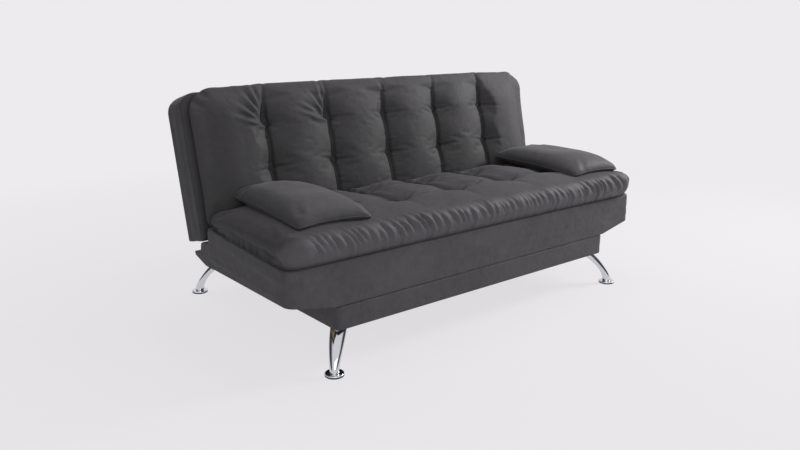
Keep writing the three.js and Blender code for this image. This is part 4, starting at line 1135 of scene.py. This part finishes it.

# The back cover: suede stretched over the panel behind and beside the cushion.
# Its edges are eased by the wadding, and two slots at the bottom clear the hinges.
# The back's suede is the box's suede painted darker, as painted shade.
back_cloth_painted_shade = suede("charcoal_suede_back_painted_shade", (66, 64, 66), 0.5)
panel_fore, panel_rear = 0.062, 0.068
panel_low, panel_high = -0.040, 0.503
panel_radius, rear_radius = 0.062, 0.042
loop, outs = rounded_loop(seat_half, panel_low, panel_high, 0.004, panel_radius, 0.008)
thick = panel_fore + panel_rear


def panel_ring(inset, depth, slack=0.0):
    """One ring round the panel at a depth behind its front, below the rounded rear top edge."""
    x, rise = (drawn_in(loop, inset) + outs * np.reshape(slack, (-1, 1))).T
    past = np.clip((depth - thick + rear_radius) / rear_radius, 0, 1)
    ceiling = panel_high - rear_radius * (1 - math.sqrt(max(0.0, 1 - past * past)))
    return on_back(x, panel_fore - depth, np.minimum(rise, ceiling))


arc_length = length_along(loop)
rings = []
for inset, depth in ((0.09, 0.0006), (0.05, 0.0004), (0.015, 0.0002), (0.004, 0.0012)):
    rings.append(panel_ring(inset, depth))
for depth in np.linspace(0.005, thick - 0.006, 18):
    slack = soft_noise(arc_length * 8, np.full(len(loop), depth * 30), 41) * 0.0012
    rings.append(panel_ring(0, depth, slack * math.sin(math.pi * depth / thick)))
for inset, depth in ((0.0012, thick - 0.0025), (0.004, thick - 0.0008), (0.008, thick - 0.0003)):
    rings.append(panel_ring(inset, depth))
for inset in np.linspace(0.016, 0.26, 26):
    ring = panel_ring(inset, thick - 0.0003)
    fade = min(1.0, (inset - 0.008) / 0.08)
    ring[:, 1] -= (0.5 + soft_noise(ring[:, 0] * 5, ring[:, 2] * 9, 42)) * 0.0014 * fade
    rings.append(ring)
back_mid = on_back(np.array([0.0]), np.array([-panel_rear + 0.0012]), np.array([0.232]))
back_panel = skin("back_panel_cover", np.concatenate([*rings, back_mid]),
                  ring_faces(len(rings), len(loop), False, True), back_cloth_painted_shade)
thicken(back_panel, cloth_skin)


def back_block(name, x_span, fore_span, rise_span):
    """A plain block in the back's own directions, to cut with."""
    corners = [(x, fore, rise) for x in x_span for fore in fore_span for rise in rise_span]
    x, fore, rise = np.array(corners).T
    block = bpy.data.meshes.new(name)
    block.from_pydata(on_back(x, fore, rise).tolist(), [],
                      [(0, 1, 3, 2), (4, 6, 7, 5), (0, 4, 5, 1), (2, 3, 7, 6), (0, 2, 6, 4),
                       (1, 5, 7, 3)])
    shape = bmesh.new()
    shape.from_mesh(block)
    bmesh.ops.recalc_face_normals(shape, faces=shape.faces)
    shape.to_mesh(block)
    shape.free()
    return object_of(name, block)


slot_inner, slot_outer = 0.6585, 0.6944
for sign in (-1, 1):
    slot = back_block("hinge_slot", sorted((sign * slot_inner, sign * slot_outer)),
                      (-0.080, 0.048), (-0.050, 0.050))
    cut = back_panel.modifiers.new("hinge_slot", "BOOLEAN")
    cut.operation = "DIFFERENCE"
    cut.object = slot
    settle(back_panel)
    bpy.data.objects.remove(slot)
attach(back_panel, "backrest")
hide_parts("back_cover")

# The back cushion: six upright padded columns, sewn through at five channels and two tuft rows.
# It is stuffed with fibre over foam; creases pull sideways and upwards from the tufts.
back_grid_half = seat_half - 0.050
back_pitch = 2 * seat_grid_half / columns
back_bottom, back_top = -0.0185, 0.4915
back_rows = (0.194, 0.364)
back_swell, back_tuft_depth, back_tuft_radius = 0.030, 0.016, 0.042
level_reach = 0.12


def back_crown(u, v):
    in_u = rim_share(back_grid_half - np.abs(u), 0.130)
    in_v = rim_share(back_top - v, 0.130) * rim_share(v - back_bottom, 0.170)
    dip = back_tuft_depth * tuft_dip(u, v, back_pitch, back_rows, back_tuft_radius)
    dome = column_dome(u, back_grid_half, back_pitch, 2.9)
    return back_swell * dome * in_u * in_v - dip


def back_rim(u, v):
    return np.full(len(u), 0.025)


def cushion_on_back(u, v, w):
    return on_back(u, panel_fore + sewing_gap + w, v)


points, faces = padded_skin(
    np.linspace(-back_grid_half, back_grid_half, round(2 * back_grid_half / cell) + 1),
    np.linspace(back_bottom, back_top, round((back_top - back_bottom) / cell) + 1), 0.070,
    {"side": 0.038, "start": 0.012, "end": 0.030, "foot": 0.4}, back_rim, back_crown,
    cushion_on_back, 8)
back_cushion = skin("channelled_back_cushion", points, faces, back_cloth_painted_shade)


def back_pattern(points):
    """Across, up and forward of the panel face, for points in the sofa's frame."""
    y, z = points[:, 1] - hinge_place.y, points[:, 2] - hinge_place.z
    rise = y * math.sin(back_lean) + z * math.cos(back_lean)
    fore = -y * math.cos(back_lean) + z * math.sin(back_lean)
    return points[:, 0], rise, fore - panel_fore


u, v, w = back_pattern(points)
sewn = tuft_dip(u, v, back_pitch, back_rows, 0.012) > 0.5
channel_line = (np.abs(u - nearest_channel(u, back_pitch)) < 0.005) & (w > 0.012)
channel_line &= v < back_top - 0.045
swell(back_cushion, (w < 0.002) | sewn | channel_line, 4.0, 0.010, 0.006)
refine(back_cushion)
points, out = surface_of(back_cushion)
u, v, w = back_pattern(points)
front_side = w > 0.012
move = np.zeros(len(points))
channels = [back_pitch * k for k in range(-2, 3)]
for number, channel in enumerate(channels):
    gap = np.abs(u - channel)
    inside = np.clip((v - back_bottom) / 0.03, 0, 1) * np.clip((back_top - v) / 0.070, 0, 1)
    move += front_side * inside * -0.013 * np.exp(-(gap / 0.0085) ** 2)
    for row in back_rows:
        centre = (channel, row)
        r = np.hypot(u - channel, v - row)
        move += front_side * -0.007 * np.exp(-(r / 0.016) ** 2)
        for angle in (0, 180):
            turn = math.radians(angle + chance.normal(0, 4))
            end = reached(centre, level_reach, turn)
            move += front_side * crease(u, v, centre, end, 0.0040, 0.0060)
        pulled = number < 2 and row == back_rows[1]
        for angle in (104, 124, 143, 160) if pulled else (35, 150, 215):
            turn = math.radians(angle + chance.normal(0, 5))
            reach = chance.uniform(0.12, 0.17) if pulled else chance.uniform(0.03, 0.06)
            end = reached(centre, reach, turn)
            fold, depth, width = ((gather, (0.006, 0.009), 0.0095) if pulled
                                  else (crease, (0.003, 0.005), 0.0085))
            move += front_side * fold(u, v, centre, end, chance.uniform(*depth), width)
    for _ in range(8):
        start = chance.uniform(back_bottom + 0.05, back_top - 0.03)
        side = chance.choice((-1, 1))
        reach = chance.uniform(0.02, 0.05)
        move += front_side * crease(u, v, (channel + side * 0.006, start),
                                    (channel + side * reach, start + chance.normal(0, 0.008)),
                                    chance.uniform(0.001, 0.0024), 0.0055)
move += front_side * soft_noise(u * 8, v * 7, 43) * 0.0022
points = points + out * move[:, None]
deepest = back_pattern(points)[2]
toward_front = np.array([0, -math.cos(back_lean), math.sin(back_lean)])
points += front_side[:, None] * np.clip(0.004 - deepest, 0, None)[:, None] * toward_front
move_to(back_cushion.data, points)
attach(back_cushion, "backrest")
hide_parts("back_cushion")

# Two loose arm pillows of the same suede, filled with fibre and lying flat on the seat.
# Upper and lower panels meet in one piped seam, which droops at the blunt corners.
# The pillows' suede is painted a little darker than the box's, as painted shade.
pillow_cloth_painted_shade = suede("charcoal_suede_pillow", (74, 72, 74), 0.5)
pillow_width, pillow_length, pillow_rise = 0.292, 0.520, 0.080
pillow_turn = math.radians(-3.5)
seam_low, seam_climb, seam_swell = 0.007, 0.016, 0.010


def seam_rise(a, b):
    """Height of the seam above the seat: low at the front corners, lifted along the sides."""
    sides = np.clip(1 - (a * b) ** 2, 0, 1)
    return seam_low + seam_climb * np.clip((b + 1) / 2, 0, 1) ** 1.6 + seam_swell * sides


def pillow_skin(cells_a, cells_b):
    """Two domed panels that share their edge, with the edge drawn in between the corners."""
    a = np.sin(np.linspace(-math.pi / 2, math.pi / 2, cells_a + 1))
    b = np.sin(np.linspace(-math.pi / 2, math.pi / 2, cells_b + 1) * 0.98)
    b = b / b[-1]
    a, b = np.meshgrid(a, b)
    dome = ((1 - np.abs(a) ** 2.8) * (1 - np.abs(b) ** 2.8)) ** 0.46
    blunt = (a * b) ** 10
    x = a * (1 - 0.045 * (1 - b * b) - 0.07 * blunt) * pillow_width / 2
    y = b * (1 - 0.045 * (1 - a * a) - 0.04 * blunt) * pillow_length / 2
    seam = seam_rise(a, b)
    upper = seam + (pillow_rise - seam) * dome
    under = seam + np.maximum(-pillow_rise * 0.5 * dome, -seam)
    rows, count = a.shape
    grid = np.arange(rows * count).reshape(rows, count)
    edge = (np.abs(a) > 0.99999) | (np.abs(b) > 0.99999)
    lower_grid = np.where(edge, grid, grid + rows * count)
    top_points = np.column_stack([x.ravel(), y.ravel(), upper.ravel()])
    low_points = np.column_stack([x.ravel(), y.ravel(), under.ravel()])
    faces = []
    for sheet, flipped in ((grid, False), (lower_grid, True)):
        quads = quads_of(sheet)
        faces += (quads[:, ::-1] if flipped else quads).tolist()
    return np.concatenate([top_points, low_points]), faces, grid, edge


for side in ("left", "right"):
    low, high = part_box("arm_pillow_" + side)
    centre = ((low.x + high.x) / 2, (low.y + high.y) / 2, low.z)
    points, faces, grid, edge = pillow_skin(56, 96)
    pillow = skin("arm_pillow_cover_" + side, points, faces, pillow_cloth_painted_shade)
    mesh = pillow.data
    shape = bmesh.new()
    shape.from_mesh(mesh)
    loose = [vert for vert in shape.verts if not vert.link_faces]
    bmesh.ops.delete(shape, geom=loose, context="VERTS")
    shape.to_mesh(mesh)
    shape.free()
    mesh.shade_smooth()
    mesh.transform(Matrix.Translation(centre) @ Matrix.Rotation(pillow_turn, 4, "Z"))
    points = coordinates(mesh)
    seam_points = np.zeros(len(points), bool)
    seam_points[:edge.size] = edge.ravel()
    swell(pillow, (points[:, 2] < low.z + 0.004) | seam_points, 3.0, 0.008)
    refine(pillow)
    points, out = surface_of(pillow)
    u, v = points[:, 0] - centre[0], points[:, 1] - centre[1]
    chance = np.random.default_rng(51 if side == "left" else 52)
    upper = out[:, 2] > 0.05
    move = soft_noise(u * 8, v * 6, 53 if side == "left" else 54) * 0.0055
    for _ in range(10):
        corner = chance.choice((-1, 1), 2)
        start = (corner[0] * pillow_width * chance.uniform(0.30, 0.47),
                 corner[1] * pillow_length * chance.uniform(0.34, 0.47))
        end = (start[0] * chance.uniform(0.35, 0.75), start[1] * chance.uniform(0.55, 0.8))
        move += crease(u, v, start, end, chance.uniform(0.002, 0.005), 0.013)
    above = points[:, 2] - low.z - seam_rise(u / pillow_width * 2, v / pillow_length * 2)
    move = move * upper * np.clip(above / 0.02, 0, 1)
    points += out * move[:, None]
    points[:, 2] = np.maximum(points[:, 2], low.z)
    move_to(pillow.data, points)
    body = side + "_pillow"
    rim_index = rim_of(grid)
    seam_path = points[rim_index]
    seam_path[:, 2] = np.maximum(seam_path[:, 2], low.z + 0.003)
    seam = grown("arm_pillow_piping_" + side, path_mesh("seam_path_" + side, seam_path, True),
                 wire_tree, {"Wire Radius": 0.0024, "Sides": 8, "Material": pillow_cloth_painted_shade})
    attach(seam, body)
    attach(pillow, body)
    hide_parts("arm_pillow_" + side)
